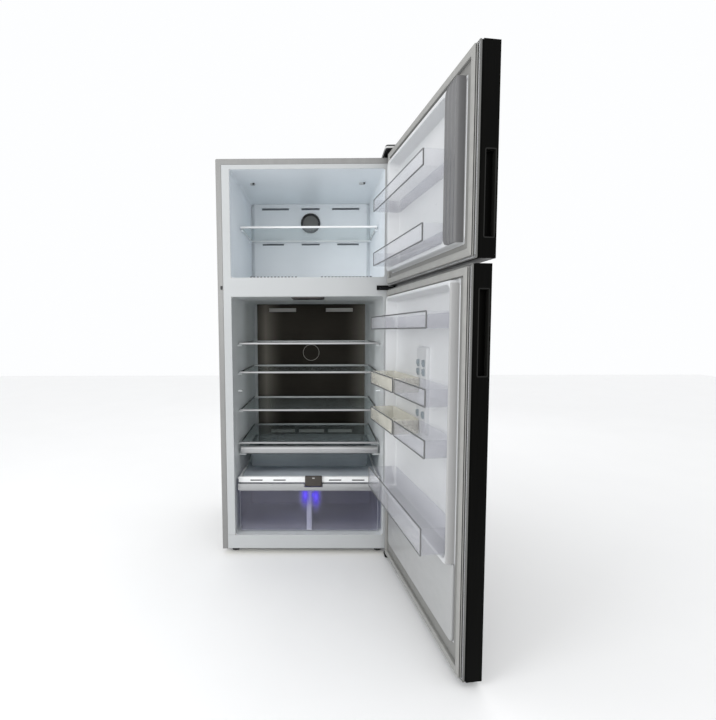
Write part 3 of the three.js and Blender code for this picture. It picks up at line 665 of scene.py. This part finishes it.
black_metal = moulded("black enamelled steel", (0.003, 0.003, 0.0033), 0.45, 0.0, dust=0.01, shine=0.12)
dress(black_metal, "top_hinge")
cap = block((346, 413), (-64, 116), [(0, 12, 1861.4), (0, 12, 1877), (3, 9, 1880.6), (7, 6, 1881.4)])
make("hinge_cap", cap, black_plastic, ["top_hinge_cover"])
lid_edge, lid_side = rounded(347, 412, -63, -20, 8), rounded(345.6, 413.4, -64.4, -20, 11)
lid = form([(lid_edge, 1866), (lid_side, 1866.2), (lid_side, 1873), (lid_edge, 1873.2)])
make("hinge_cap_lid", lid,
     moulded("pale grey plastic", (0.6, 0.6, 0.59), 0.4), bevel=0.3)

# ---- Middle and bottom hinges ----
# Flat steel arms screwed through the divider and under the base, each with a turned pin. The middle
# one is enamelled black, with a bright tongue at its root.

soften("middle_arm", "middle_hinge", black_metal, 0.9)
soften("bottom_arm", "bottom_hinge", black_metal, 0.9)
waist, girth = rounded(360, 403, -49, -3, 5), rounded(358, 404, -51, -2, 6)
bracket = form([(waist, 6.5), (waist, 9.6), (girth, 10.4), (girth, 15.6),
                (rounded(360, 402, -49, -3, 5), 17)])
make("bottom_hinge_foot", bracket, black_metal)
pin_steel = brushed("bright pin steel", (0.55, 0.55, 0.54), 0.28)
tongue = block((331, 366), (1277.7, 1278.8), [(0, 0.5, -0.5), (0, 0.5, -8.5)], "y")
make("bright_tongue", tongue, pin_steel)
socket_screws = bmesh.new()
for x in (331, 359):
    turned(x, 1267, [(5.4, -8.8), (5.4, -11.4), (3.6, -12.6), (3.0, -10.6)], "y", 20, into=socket_screws)
make("hinge_screws", socket_screws, black_metal)
plug_side = rounded(-402, -393, 1261.6, 1278.6, 2.5)
plug_face = rounded(-400.5, -394.5, 1263, 1277.2, 1.8)
stopper = form([(plug_side, -0.2), (plug_side, -2.4), (plug_face, -3)], "y")
make("flange_plug", stopper, black_plastic, bevel=0.3)

# ---- Base, feet and rollers ----
# The bottom plate carries the compressor at the back, threaded feet in front and plastic rollers
# behind. The compressor is a black shell, and the condenser is a copper-coated tube.

dress(black_plastic, "left_roller", "right_roller", "drip_pan")


def turned_foot(x, name, replaced, body):
    """A pad with a knurled grip under a threaded stem."""
    profile = [(0.5, 0), (16.5, 0), (18, 1.2), (18, 5.8), (17, 7), (9.5, 10.5), (9, 11.2), (6, 11.4)]
    profile += [(6 - 0.9 * (i % 2), 11.6 + 0.8 * i) for i in range(16)] + [(5.2, 24.3), (0.5, 24.3)]
    rings = []
    for radius, height in profile:
        points = round_points(x, 50, radius, 36)
        if 1 < height < 7:
            points = [(x + (a - x) * (1 - 0.03 * (i % 2)), 50 + (b - 50) * (1 - 0.03 * (i % 2)))
                      for i, (a, b) in enumerate(points)]
        rings.append((points, height))
    make(name, form(rings), black_plastic, [replaced], body=body)


turned_foot(-360, "left_screw_foot", "left_foot", "left_foot_body")
turned_foot(335, "right_screw_foot", "right_foot", "right_foot_body")
cast_black = moulded("cast black", (0.016, 0.017, 0.018), 0.45, 0.05)
dress(cast_black, "compressor")
dress(brushed("copper coat", (0.55, 0.26, 0.14), 0.35, "x"), "condenser_tube")

# ---- Glass shelves ----
# Toughened glass plates set in moulded edges. Silver bars run along the front and back of the ones
# in the refrigerator; the freezer's has white edges.


def clear(name, tint, roughness=0.08, least=0.12, most=0.55, smear_scale=9.0, edge=None):
    """See-through plastic or glass: light passes through, more of it is sent back at a slant."""
    wire, place = new_material(name)
    slant = wire.node("LayerWeight", None, {"Blend": 0.35}, output=1)
    smear = wire.noise(place, smear_scale, 4)
    body = wire.node("BsdfPrincipled", None, {
        "Base Color": smear.fade(0.3, 0.7).mix(scaled(tint, 0.93), scaled(tint, 1.05)),
        "Roughness": smear.fade(0.3, 0.7, roughness, roughness + 0.05), "Coat Weight": 0.3})
    through = wire.node("BsdfTransparent", None, {"Color": edge or colour(0.96, 0.98, 0.98)})
    solidness = slant * slant * (most - least) + smear * 0.04 + least
    return covered(wire.node("MixShader", None, {0: solidness, 1: through, 2: body}))


shelf_glass = clear("shelf glass", (0.42, 0.47, 0.47), 0.05, 0.015, 0.32, 4.0)
silver_trim = brushed("silver trim", (0.42, 0.425, 0.43), 0.3, "x", 0.8, 0.08)
dark_edge = moulded("dark shelf side", (0.06, 0.062, 0.064), 0.25, 0.4)


def profile_bar(bm, x0, x1, section):
    """A bar across the cabinet with one section of (y, z) points; its ends are drawn in a little."""
    middle_y = sum(y for y, _ in section) / len(section)
    middle_z = sum(z for _, z in section) / len(section)
    small = [(middle_y + (y - middle_y) * 0.85, middle_z + (z - middle_z) * 0.85) for y, z in section]
    return skin(bm, [(small, x0), (section, x0 + 1), (section, x1 - 1), (small, x1)], "x")


def shelf(name, z, front, back, replaced, bar, sides):
    """One plate with a nosing, a rear bar and thin sides."""
    nose = [(front, z - 3.5), (front + 1.2, z - 4.8), (front + 10, z - 4.9), (front + 13, z - 3),
            (front + 13, z + 2.2), (front + 11.5, z + 4.2), (front + 3, z + 4.9), (front + 0.6, z + 3.6)]
    rear = [(back - 9, z - 4.5), (back, z - 4.5), (back, z + 4), (back - 2, z + 4.9), (back - 8, z + 4.9),
            (back - 9, z + 3.8)]
    bars = bmesh.new()
    profile_bar(bars, -341.5, 341.5, nose)
    profile_bar(bars, -341.5, 341.5, rear)
    make(name + "_bars", bars, bar, [replaced + "_edge"], 0.5)
    rails = bmesh.new()
    for side in (-1, 1):
        block(sorted((side * 337.4, side * 341.8)), (z - 4.6, z + 4.6),
              [(0, 1.6, front + 12), (0, 1.6, back - 8)], "y", steps=3, into=rails)
    make(name + "_sides", rails, sides, bevel=0.3)
    glass = block((-337.4, 337.4), (front + 12, back - 8), [(0, 3, z - 2), (0, 3, z + 2)])
    make(name + "_glass", glass, shelf_glass, [replaced + "_glass"], 0.6)


bright_white = moulded("bright white plastic", (0.86, 0.87, 0.87), 0.25, 0.4)
shelf("freezer_glass_shelf", FREEZER_SHELF_Z, 200, 570, "freezer_shelf", bright_white, bright_white)
for number, shelf_z in enumerate(SHELVES, 1):
    shelf(f"glass_shelf_{number}", shelf_z, 110, 575, f"refrigerator_shelf_{number}", silver_trim,
          dark_edge)

# ---- Chiller drawer ----
# A shallow tray of clear styrene that hangs by its rim from two rails under the lowest shelf. A wide
# silver-finished bar across its front is the handle.


def open_box(x, y, z, wall, corner, taper, foot=4.0):
    """An open-topped moulded box with round corners and a round foot. The taper draws in its low-x,
    high-x, low-y and high-y sides towards the foot."""

    def ring(height, inset, corner_cut=0.0):
        fall = (z[1] - height) / (z[1] - z[0])
        return rounded(x[0] + inset + taper[0] * fall, x[1] - inset - taper[1] * fall,
                       y[0] + inset + taper[2] * fall, y[1] - inset - taper[3] * fall,
                       max(0.8, corner - corner_cut)), height

    rings = [ring(z[0], foot), ring(z[0] + foot * 0.35, foot * 0.3), ring(z[0] + foot, 0)]
    rings += [ring(z[1] - 0.8, 0), ring(z[1], 0.7), ring(z[1], wall - 0.3, 1.5), ring(z[1] - 1, wall, 1.5),
              ring(z[0] + wall + foot, wall, 1.5),
              ring(z[0] + wall + foot * 0.3, wall + foot * 0.3, 1.5), ring(z[0] + wall, wall + foot, 1.5)]
    return form(rings)


clear_plastic = clear("clear styrene", (0.3, 0.335, 0.36), 0.05, 0.2, 0.5, 4.0,
                      edge=colour(0.78, 0.82, 0.84))
make("chiller_tray", open_box((-296, 296), (116, 536), (390, 462), 2.6, 12, (6, 6, 10, 4)),
     clear_plastic, ["chiller_drawer"], body="chiller")
hanger_side = rounded(-326, 326, 118, 536, 10)
hanger = form([(hanger_side, 458.4), (hanger_side, 461.6), (rounded(-325, 325, 119, 535, 9), 462.2),
               (rounded(-297, 297, 128, 530, 9), 462.2), (rounded(-296.2, 296.2, 129, 529, 9), 458.4)],
              joined=True)
make("chiller_rim", hanger, clear_plastic, body="chiller")
grip = [(128, 463), (128, 497), (125, 499.6), (118, 500), (112, 498.4), (107, 494), (104.4, 486),
        (104.2, 470), (105.6, 465), (109, 463)]
make("chiller_grip", profile_bar(bmesh.new(), -340.8, 340.8, grip), silver_trim,
     ["chiller_handle"], 0.8, 3, body="chiller")

# ---- Crisper cover ----
# A white moulded frame holds a glass plate over the vegetable drawer. Four vents lie in its front
# bar, and a dark housing with a small lamp hangs from its middle.

soften("cover_frame", "crisper_cover_front", bright_white, 0.9)
vents = bmesh.new()
for x in (-254, -142, 128, 240):
    block((x - 29.8, x + 29.8), (346.2, 351.8), [(0, 2.4, 42), (0, 2.4, 48.6)], "y", into=vents)
make("vent_inserts", vents, dark_plastic_and_slot_shade)
plate = block((-329.6, 329.6), (58.4, 566.6), [(0, 3, 355), (0, 3, 359)])
make("cover_glass", plate,
     clear("frosted cover glass", (0.72, 0.77, 0.82), 0.2, 0.55, 0.85), ["crisper_cover_glass"], 0.6)
lamp_brown = moulded("brown-grey plastic", (0.05, 0.042, 0.036), 0.6, 0.0)
housing = block((-18, 64), (322, 372), [(0, 5, 39.6), (0, 5, 31), (2, 4, 28.8), (5, 3, 28.1)], "y")
make("lamp_housing", housing, lamp_brown, ["crisper_lamp_housing"])


def glow(name, tint, strength):
    """A lit lens, its glow varied by a fine ripple."""
    wire, place = new_material(name)
    ripple = wire.noise(place, 150, 2)
    return painted(wire, ripple.mix(scaled(tint, 0.8), tint), ripple.fade(0, 1, 0.2, 0.4), None, {
        "Emission Color": ripple.mix(scaled(tint, 0.75), tint), "Emission Strength": strength})


lens_mark = block((17, 29), (361, 365), [(0, 1.8, 28.6), (0, 1.8, 27.8)], "y")
make("housing_lens", lens_mark,
     glow("pale lamp glow", colour(0.5, 0.5, 0.5), 0.2))

# ---- Crisper drawer ----
# A deep violet-grey tinted tub that slides on the floor of the cabinet, parted by an upright white
# wall. Its silver handle and its front dip under the lamp housing.

def carve(bm, *cutters):
    """Cuts closed forms out of a piece."""
    shapes = []
    for part in (bm, *cutters):
        bmesh.ops.recalc_face_normals(part, faces=part.faces)
        mesh = bpy.data.meshes.new("shape")
        part.to_mesh(mesh)
        part.free()
        shapes.append(bpy.data.objects.new("shape", mesh))
        scene.collection.objects.link(shapes[-1])
    for cutter in shapes[1:]:
        cut_away = shapes[0].modifiers.new("cut", "BOOLEAN")
        cut_away.operation = "DIFFERENCE"
        cut_away.object = cutter
    left = bmesh.new()
    left.from_object(shapes[0], bpy.context.evaluated_depsgraph_get())
    for shape in shapes:
        bpy.data.objects.remove(shape)
    return left


def dipped(bm, y0, y1):
    """Cuts the dip for the lamp housing out of a piece."""
    return carve(bm, block((-21, 67), (318, 345), [(0, 3, y0), (0, 3, y1)], "y"))


LED_SPOTS = ((-0.018, 0.042, 0.276), (0.034, 0.042, 0.268))
LED_BLUE = colour(0.07, 0.035, 0.9)


def tinted():
    """Smoky violet plastic; light from the two small lamps spreads in it and makes it glow. The glow is
    painted: a bluer colour and painted emission round each lamp.
    """
    wire, place = new_material("violet tinted plastic with painted glow")
    slant = wire.node("LayerWeight", None, {"Blend": 0.35}, output=1)
    smear = wire.noise(place, 6, 4)
    flat = wire.vector("MULTIPLY", place, (1, 1, 0.4))
    height = wire.axis(place, "Z")
    floor_part = height.fade(0.106, 0.15, 1.0, 0.0)
    # Painted glow: near each lamp the colour turns blue and the plastic emits light, though it is no lamp.
    lit = 0.0
    for x, y, z in LED_SPOTS:
        reach = wire.vector("DISTANCE", flat, (x, y, z * 0.4), "Value")
        near = reach.fade(0.0, 0.042, 1.0, 0.0)
        lit = near * near + lit
    smoke = smear.fade(0.3, 0.7).mix(colour(0.33, 0.33, 0.38), colour(0.39, 0.39, 0.43))
    shade = floor_part.mix(smoke, colour(0.82, 0.82, 0.86))
    body = wire.node("BsdfPrincipled", None, {
        "Base Color": lit.fade(0.0, 0.5).mix(shade, colour(0.12, 0.08, 0.6)),
        "Roughness": smear.fade(0.3, 0.7, 0.06, 0.16), "Coat Weight": 0.3,
        "Emission Color": lit.mix(colour(0, 0, 0), LED_BLUE), "Emission Strength": 0.55})
    through = wire.node("BsdfTransparent", None, {"Color": colour(0.84, 0.84, 0.905)})
    solidness = slant * slant * 0.45 + smear * 0.05 + lit * 0.8 + 0.09
    return covered(wire.node("MixShader", None, {0: solidness, 1: through, 2: body}))


crisper_tub = open_box((-338, 338), (38.4, 408), (96, 334), 3, 9, (4, 4, 2, 4), foot=9)
make("crisper_tub", dipped(crisper_tub, 20, 62), tinted(), ["crisper_drawer"],
     body="crisper")
pull = [(38, 301), (38, 334.4), (33, 335), (29.5, 333), (28.2, 328), (28.2, 308), (29.6, 302), (32, 300.4)]
pull_bar = dipped(profile_bar(bmesh.new(), -342.6, 342.6, pull), 20, 43)
make("crisper_pull", pull_bar, silver_trim, ["crisper_handle"], 0.6, 3, body="crisper")
outline = block((-335.6, 335.6), (101, 298), [(inset, 6, y) for inset, y in (
    (0, 38.9), (0, 37.9), (0.4, 37.6), (1.4, 37.6), (1.8, 37.9), (1.8, 38.9))], "y", True)
make("crisper_outline", outline,
     clear("pale moulded edge", (0.62, 0.62, 0.7), 0.1, 0.35, 0.7), body="crisper")
wall = form([(rounded(-12, 14, 45, 404, 4), 99.5), (rounded(-11, 13, 44, 404, 4), 308),
             (rounded(-9.5, 11.5, 45, 403, 3), 310.8)])
make("crisper_wall", wall, bright_white, ["crisper_divider"], 0.4, body="crisper")
leds = bmesh.new()
for x, wide in ((-17, 4), (20, 5)):
    lens = rounded(x - wide, x + wide, 264, 282, 3.9)
    tip = rounded(x - wide + 1.5, x + wide - 1.5, 266, 280, 2.4)
    skin(leds, [(lens, 52), (lens, 46), (tip, 44.6)], "y")
make("blue_lamps", leds, glow("blue lamp glow", LED_BLUE, 1.0), body="crisper")

# ---- Door skins ----
# Each door is a shallow pan of black coated steel filled with foam, with a long grip recess sunk in
# its free edge. The doors hang on pins and stand wide open.

# Spans of each door: its height, its liner's rim, its dish across and up, its grip, its seal's opening.
Door = namedtuple("Door", "z rim dish_x dish_z grip_z opening")
DOORS = {
    "freezer": Door((1272, 1854), (1325, 1793), (-262, 316), (1342, 1776), (1330, 1568), (1321.6, 1796.4)),
    "refrigerator": Door((20, 1258), (345, 1221), (-332, 332), (362, 1206), (940, 1187), (97, 1224.4))}
PIN_X, PIN_Y = 394, -37
PIN = Vector((PIN_X * MM, PIN_Y * MM, 0))
joints = {joint["name"]: joint for joint in frame["record"]["behaviour"]["joints"]}
for name in DOORS:
    opened = -radians(joints[name + "_door_hinge"]["range_deg"][0])
    PLACES[name + "_door"] = (CABINET @ Matrix.Translation(PIN) @ Matrix.Rotation(opened, 4, "Z")
                              @ Matrix.Translation(-PIN))


def black_coated():
    """Dark coated steel, brushed upright, with a few faint rubs."""
    wire, place = new_material("black coated steel")
    hair = wire.noise(place, 12, 3, (60, 60, 1))
    cloud = wire.noise(place, 3, 4)
    rub = wire.noise(place, 30, 5, (1, 1, 3))
    shade = (hair * 0.6 + cloud * 0.4).fade(0.35, 0.65)
    tone = shade.mix(colour(0.0016, 0.0016, 0.0014), colour(0.0036, 0.0036, 0.0032))
    rough = (rub * 0.6 + cloud * 0.4).fade(0.3, 0.7, 0.3, 0.46)
    return painted(wire, tone, rough, (hair, 0.00003, 0.25), {"Metallic": 0.3, "Specular IOR Level": 0.05})


black_coat = black_coated()
PAN_LIP, EDGE_Y = -22, -17
for name in DOORS:
    soften(name + "_door_pan", name + "_door_skin", black_coat, 0.5, 3, PAN_LIP)
edge_plastic = moulded("door edge plastic", (0.13, 0.13, 0.125), 0.45, 0.0)
grip_edge = moulded("dark grip trim", (0.01, 0.01, 0.009), 0.35, 0.0, dust=0.03, shine=0.2)
for name, door in DOORS.items():
    body = name + "_door"
    fold = block((-SIDE, SIDE), door.z, [(inset, 3, y) for inset, y in (
        (1.2, PAN_LIP - 1), (1.2, EDGE_Y), (7, EDGE_Y), (7, PAN_LIP - 1))], "y", True)
    make(body + "_fold", fold, black_coat, body=body)
    edging = block((-SIDE, SIDE), door.z, [(inset, 4, y) for inset, y in (
        (0.4, EDGE_Y), (0, -16.6), (0, -12.8), (0.9, -12), (7, -12), (7, EDGE_Y))], "y", True)
    make(body + "_edging", edging, edge_plastic, body=body)
    mouth = block((-65, -35), door.grip_z, [(-grow, 2.5 + grow, x) for grow, x in (
        (2.4, -414.8), (2.2, -415.1), (0.6, -415.1), (-0.8, -414.6), (-0.8, -396), (0.4, -396))], "x", True)
    make(body + "_grip_trim", mouth, grip_edge, body=body)

# ---- Door liners ----
# Vacuum-formed white sheets with a flat border for the gasket, a raised rim that enters the opening
# and a deep dish between, from whose sides the bins hang.

BORDER_Y, RIM_Y, DISH_Y = -12, 18, -31
door_plastic = moulded("door liner plastic", (0.6, 0.61, 0.62), 0.32, 0.15)


def ring_of(x, z, out, radius, y):
    """A ring at depth y, a little outside a rectangle given by its spans."""
    return rounded(x[0] - out, x[1] + out, z[0] - out, z[1] + out, radius, 7), y


def door_form(door):
    """Rings of a door liner: up the hidden side of its dish, round its edge and down its face."""
    slope = 8

    def dish(out, radius, y):
        return ring_of(door.dish_x, door.dish_z, out, radius, y)

    def rim_ring(half, out, radius, y):
        return rounded(-half, half, door.rim[0] - out, door.rim[1] + out, radius, 7), y

    def border(y):
        return ring_of((-SIDE, SIDE), door.z, -3.4, 6, y)

    return [dish(-slope, 20, DISH_Y - 2.5), dish(2.5, 26, DISH_Y + 8), dish(3, 26, RIM_Y - 4),
            rim_ring(341, -4, 18, RIM_Y - 4), rim_ring(342, -3, 20, BORDER_Y - 2.6),
            border(BORDER_Y - 2.6), border(BORDER_Y),
            rim_ring(348, 3, 24, BORDER_Y), rim_ring(345.4, 0.4, 22, BORDER_Y + 3),
            rim_ring(344, -1, 21, RIM_Y - 5), rim_ring(342, -3, 20, RIM_Y - 1.4),
            rim_ring(339, -6, 18, RIM_Y),
            dish(5, 28, RIM_Y), dish(2, 26, RIM_Y - 1.4), dish(0, 25, RIM_Y - 5),
            dish(2 - slope, 22, DISH_Y + 9), dish(-1 - slope, 20, DISH_Y + 3),
            dish(-6 - slope, 18, DISH_Y + 0.6), dish(-10 - slope, 16, DISH_Y)]


freezer_form = form(door_form(DOORS["freezer"]), "y")
make("freezer_door_form", freezer_form, door_plastic,
     ["freezer_door_liner"], body="freezer_door")
pillar_grey = moulded("pillar grey plastic", (0.135, 0.135, 0.138), 0.4, 0.1)


def fluted(height, far):
    """One cross-section of the freezer door's broad fluted pillar; far is its edge by the dish."""
    face = []
    for i in range(41):
        x = -343 + (far + 343) * i / 40
        face.append((x, RIM_Y + 1.2 + 2.6 * (0.5 + 0.5 * cos(6 * pi * i / 40))))
    side = [(-344.4, BORDER_Y + 6), (-347, BORDER_Y + 6), (-347, RIM_Y - 4), (-346, RIM_Y)]
    return side + face + [(far + 1, RIM_Y - 2), (-343, RIM_Y - 2)], height


turns = [(0, 30), (2, 20), (5, 13), (9, 8), (15, 3.4), (22, 1), (30, 0)]
pillar = form([fluted(1327 + rise, -266 - cut_in) for rise, cut_in in turns]
              + [fluted(1791 - rise, -266 - cut_in) for rise, cut_in in reversed(turns)])
make("freezer_door_pillar", pillar, pillar_grey, body="freezer_door")

fridge_form = form(door_form(DOORS["refrigerator"]), "y")
make("refrigerator_door_form", fridge_form, door_plastic,
     ["refrigerator_door_liner"], body="refrigerator_door")
low_panel = block((-348, 348), (98, 356), [(0, 18, -14), (0, 18, -6), (2, 17, -3), (6, 15, -2)], "y")
make("door_low_panel", low_panel,
     moulded("low panel plastic", (0.37, 0.375, 0.375), 0.34, 0.1), body="refrigerator_door")
band = [(-344.4, BORDER_Y + 6), (-347, BORDER_Y + 6), (-347, RIM_Y - 4), (-345.6, RIM_Y - 0.6),
        (-342, RIM_Y + 0.8), (-339, RIM_Y + 0.8), (-339, RIM_Y - 2), (-343, RIM_Y - 2.4)]
strip = form([(band, 356), (band, 1211)])
make("refrigerator_door_strip", strip,
     moulded("strip grey plastic", (0.385, 0.385, 0.385), 0.4, 0.1), body="refrigerator_door")
column = block((-62, 46), (688, 1012), [(0, 8, -32), (2, 8, -24), (5, 6, -20)], "y")
make("bin_column", column,
     moulded("column plastic", (0.5, 0.51, 0.52), 0.35, 0.15), body="refrigerator_door")

# ---- Door foam ----
# The same foam, poured into each door between its pan and its liner. It leaves room for the grip
# recess and for the two hinge pins.


for name, door in DOORS.items():
    slab = ring_of((-SIDE, SIDE), door.z, -4, 6, 0)[0]
    core = rounded(-340, 340, door.rim[0] + 5, door.rim[1] - 5, 17, 7)
    dishes = [ring_of(door.dish_x, door.dish_z, out, radius, y) for out, radius, y in (
        (4.2, 27, RIM_Y - 4.6), (3.6, 27, DISH_Y + 8), (-7, 21, DISH_Y - 3))]
    filled = form([(slab, -68.4), (slab, BORDER_Y - 3), (core, BORDER_Y - 3), (core, RIM_Y - 4.6)]
                  + dishes, "y")
    grip = block((-65, -35), door.grip_z, [(-4, 2, -420), (-4, 2, -389)], "x")
    pins = [turned(PIN_X, PIN_Y, [(9, low), (9, low + 70)], count=20)
            for low in (door.z[0] - 10, door.z[1] - 60)]
    make(name + "_door_core", carve(filled, grip, *pins), set_foam,
         [name + "_door_foam"], body=name + "_door")

# ---- Door gaskets ----
# A soft grey magnetic seal pressed into a groove round each liner. It has a flat magnet bulb on folded
# bellows, and its corners are welded.

def folded_rubber():
    """Grey magnetic seal, dull, with dust, and painted shade in its folds: darker towards the door."""
    wire, place = new_material("grey gasket rubber")
    painted_shade_depth = wire.axis(place, "Y")
    dust = wire.noise(place, 25, 5)
    grain = wire.noise(place, 700, 2)
    tint = (0.3, 0.298, 0.285)
    clean = dust.fade(0.3, 0.7).mix(scaled(tint, 0.92), scaled(tint, 1.06))
    # Painted shade: the rubber is darker towards the door, where its folds are.
    tone = painted_shade_depth.fade(-0.014, -0.004).mix(scaled(tint, 0.55), clean)
    return painted(wire, tone, dust.fade(0, 1, 0.5, 0.7), (grain, 0.0001, 0.3))


gasket_rubber = folded_rubber()


# Painted shade: a dark ring inside each seal shows in its two grooves.
groove_shade_rubber = moulded("dark groove shade", (0.012, 0.012, 0.011), 0.6, 0.0)
for name, door in DOORS.items():
    body = name + "_door"
    x, z = (-408, 393), (door.z[0] + 7, door.z[1] - 7)
    seal = block(x, z, [(inset, 4, y) for inset, y in (
        (24, -11.6), (24, -1.6), (22.8, -0.5), (2.6, -0.5), (1.2, -1.4), (1.2, -2.6), (6, -3), (6, -5.2),
        (0.2, -5.6), (0, -8), (6, -8.4), (6, -10.9), (0.6, -11.2), (0.6, -11.6))], "y", True, 4)
    make(name + "_seal", seal, gasket_rubber, [body + "_gasket"], body=body)
    outer = rounded(-386, 371, door.z[0] + 29, door.z[1] - 29, 6, 4)
    inner = rounded(-348.6, 348.6, *door.opening, 6, 4)
    flat = form([(outer, -12.4), (outer, -10.8), (inner, -10.8), (inner, -12.4)], "y", True)
    make(name + "_seal_flange", flat, gasket_rubber, body=body)
    # The dark ring fills the seal's grooves as painted shade.
    groove_shade = block(x, z, [(2.4, 4, -3.1), (2.4, 4, -11.1), (7, 4, -11.1), (7, 4, -3.1)], "y", True, 4)
    make(name + "_seal_groove_shade", groove_shade, groove_shade_rubber, body=body)

# ---- Door bins ----
# Clear moulded bins that hook on lugs in the dish. A grey trim is pressed over each one's upper edge.

trim_plastic = moulded("grey trim plastic", (0.13, 0.133, 0.135), 0.3, 0.3)
warm_clear = clear("warm clear plastic", (0.78, 0.765, 0.7), 0.1, 0.3, 0.7,
                   edge=colour(0.97, 0.965, 0.94))
bin_clear = clear("clear bin plastic", (0.74, 0.745, 0.77), 0.05, 0.05, 0.4,
                  edge=colour(0.955, 0.955, 0.965))
BIN_BACK = DISH_Y + 0.4
HALF_BIN = (-19.6, 86)
for name, node, x, y, z, plastic in (
        ("freezer_upper_bin", "freezer_bin_upper", (-256, 312), (BIN_BACK, 84), (1572, 1624), bin_clear),
        ("freezer_lower_bin", "freezer_bin_lower", (-256, 312), (BIN_BACK, 84), (1345, 1402), bin_clear),
        ("top_bin", "door_bin_top", (-328, 328), (BIN_BACK, 86), (1076, 1130), bin_clear),
        ("bottom_bin", "door_bin_bottom", (-328, 328), (BIN_BACK, 94), (374, 464), bin_clear),
        ("upper_hinge_side_bin", "door_bin_upper_hinge_side", (5, 328), HALF_BIN, (838, 895), warm_clear),
        ("upper_free_side_bin", "door_bin_upper_free_side", (-328, -14), HALF_BIN, (838, 895), bin_clear),
        ("lower_hinge_side_bin", "door_bin_lower_hinge_side", (5, 328), HALF_BIN, (680, 738), warm_clear),
        ("lower_free_side_bin", "door_bin_lower_free_side", (-328, -14), HALF_BIN, (680, 738), bin_clear)):
    body = BODY_OF[node]
    make(name, open_box(x, y, z, 2.4, 5, (3, 3, 0, 0)), plastic, [node], body=body)
    trim = block(x, (z[0] + 1, z[1] + 0.6), [(inset, max(0.6, 4 - inset), y[1] + rise) for inset, rise in (
        (0, -3), (-0.5, -2), (-0.5, 0.4), (0.2, 1), (3.4, 1), (4, 0.4), (4, -1.2))], "y", True, 3)
    make(name + "_frame", trim, trim_plastic, body=body)
hooks = bmesh.new()
for x in (-36, 18):
    for low in (938, 905, 748):
        lug = rounded(x - 7, x + 7, low, low + 26, 3)
        skin(hooks, [(lug, -20.4), (lug, -15), (rounded(x - 5, x + 5, low + 8, low + 25, 2.4), -11)], "y")
make("column_hooks", hooks, clear_plastic, bevel=0.4, body="refrigerator_door")
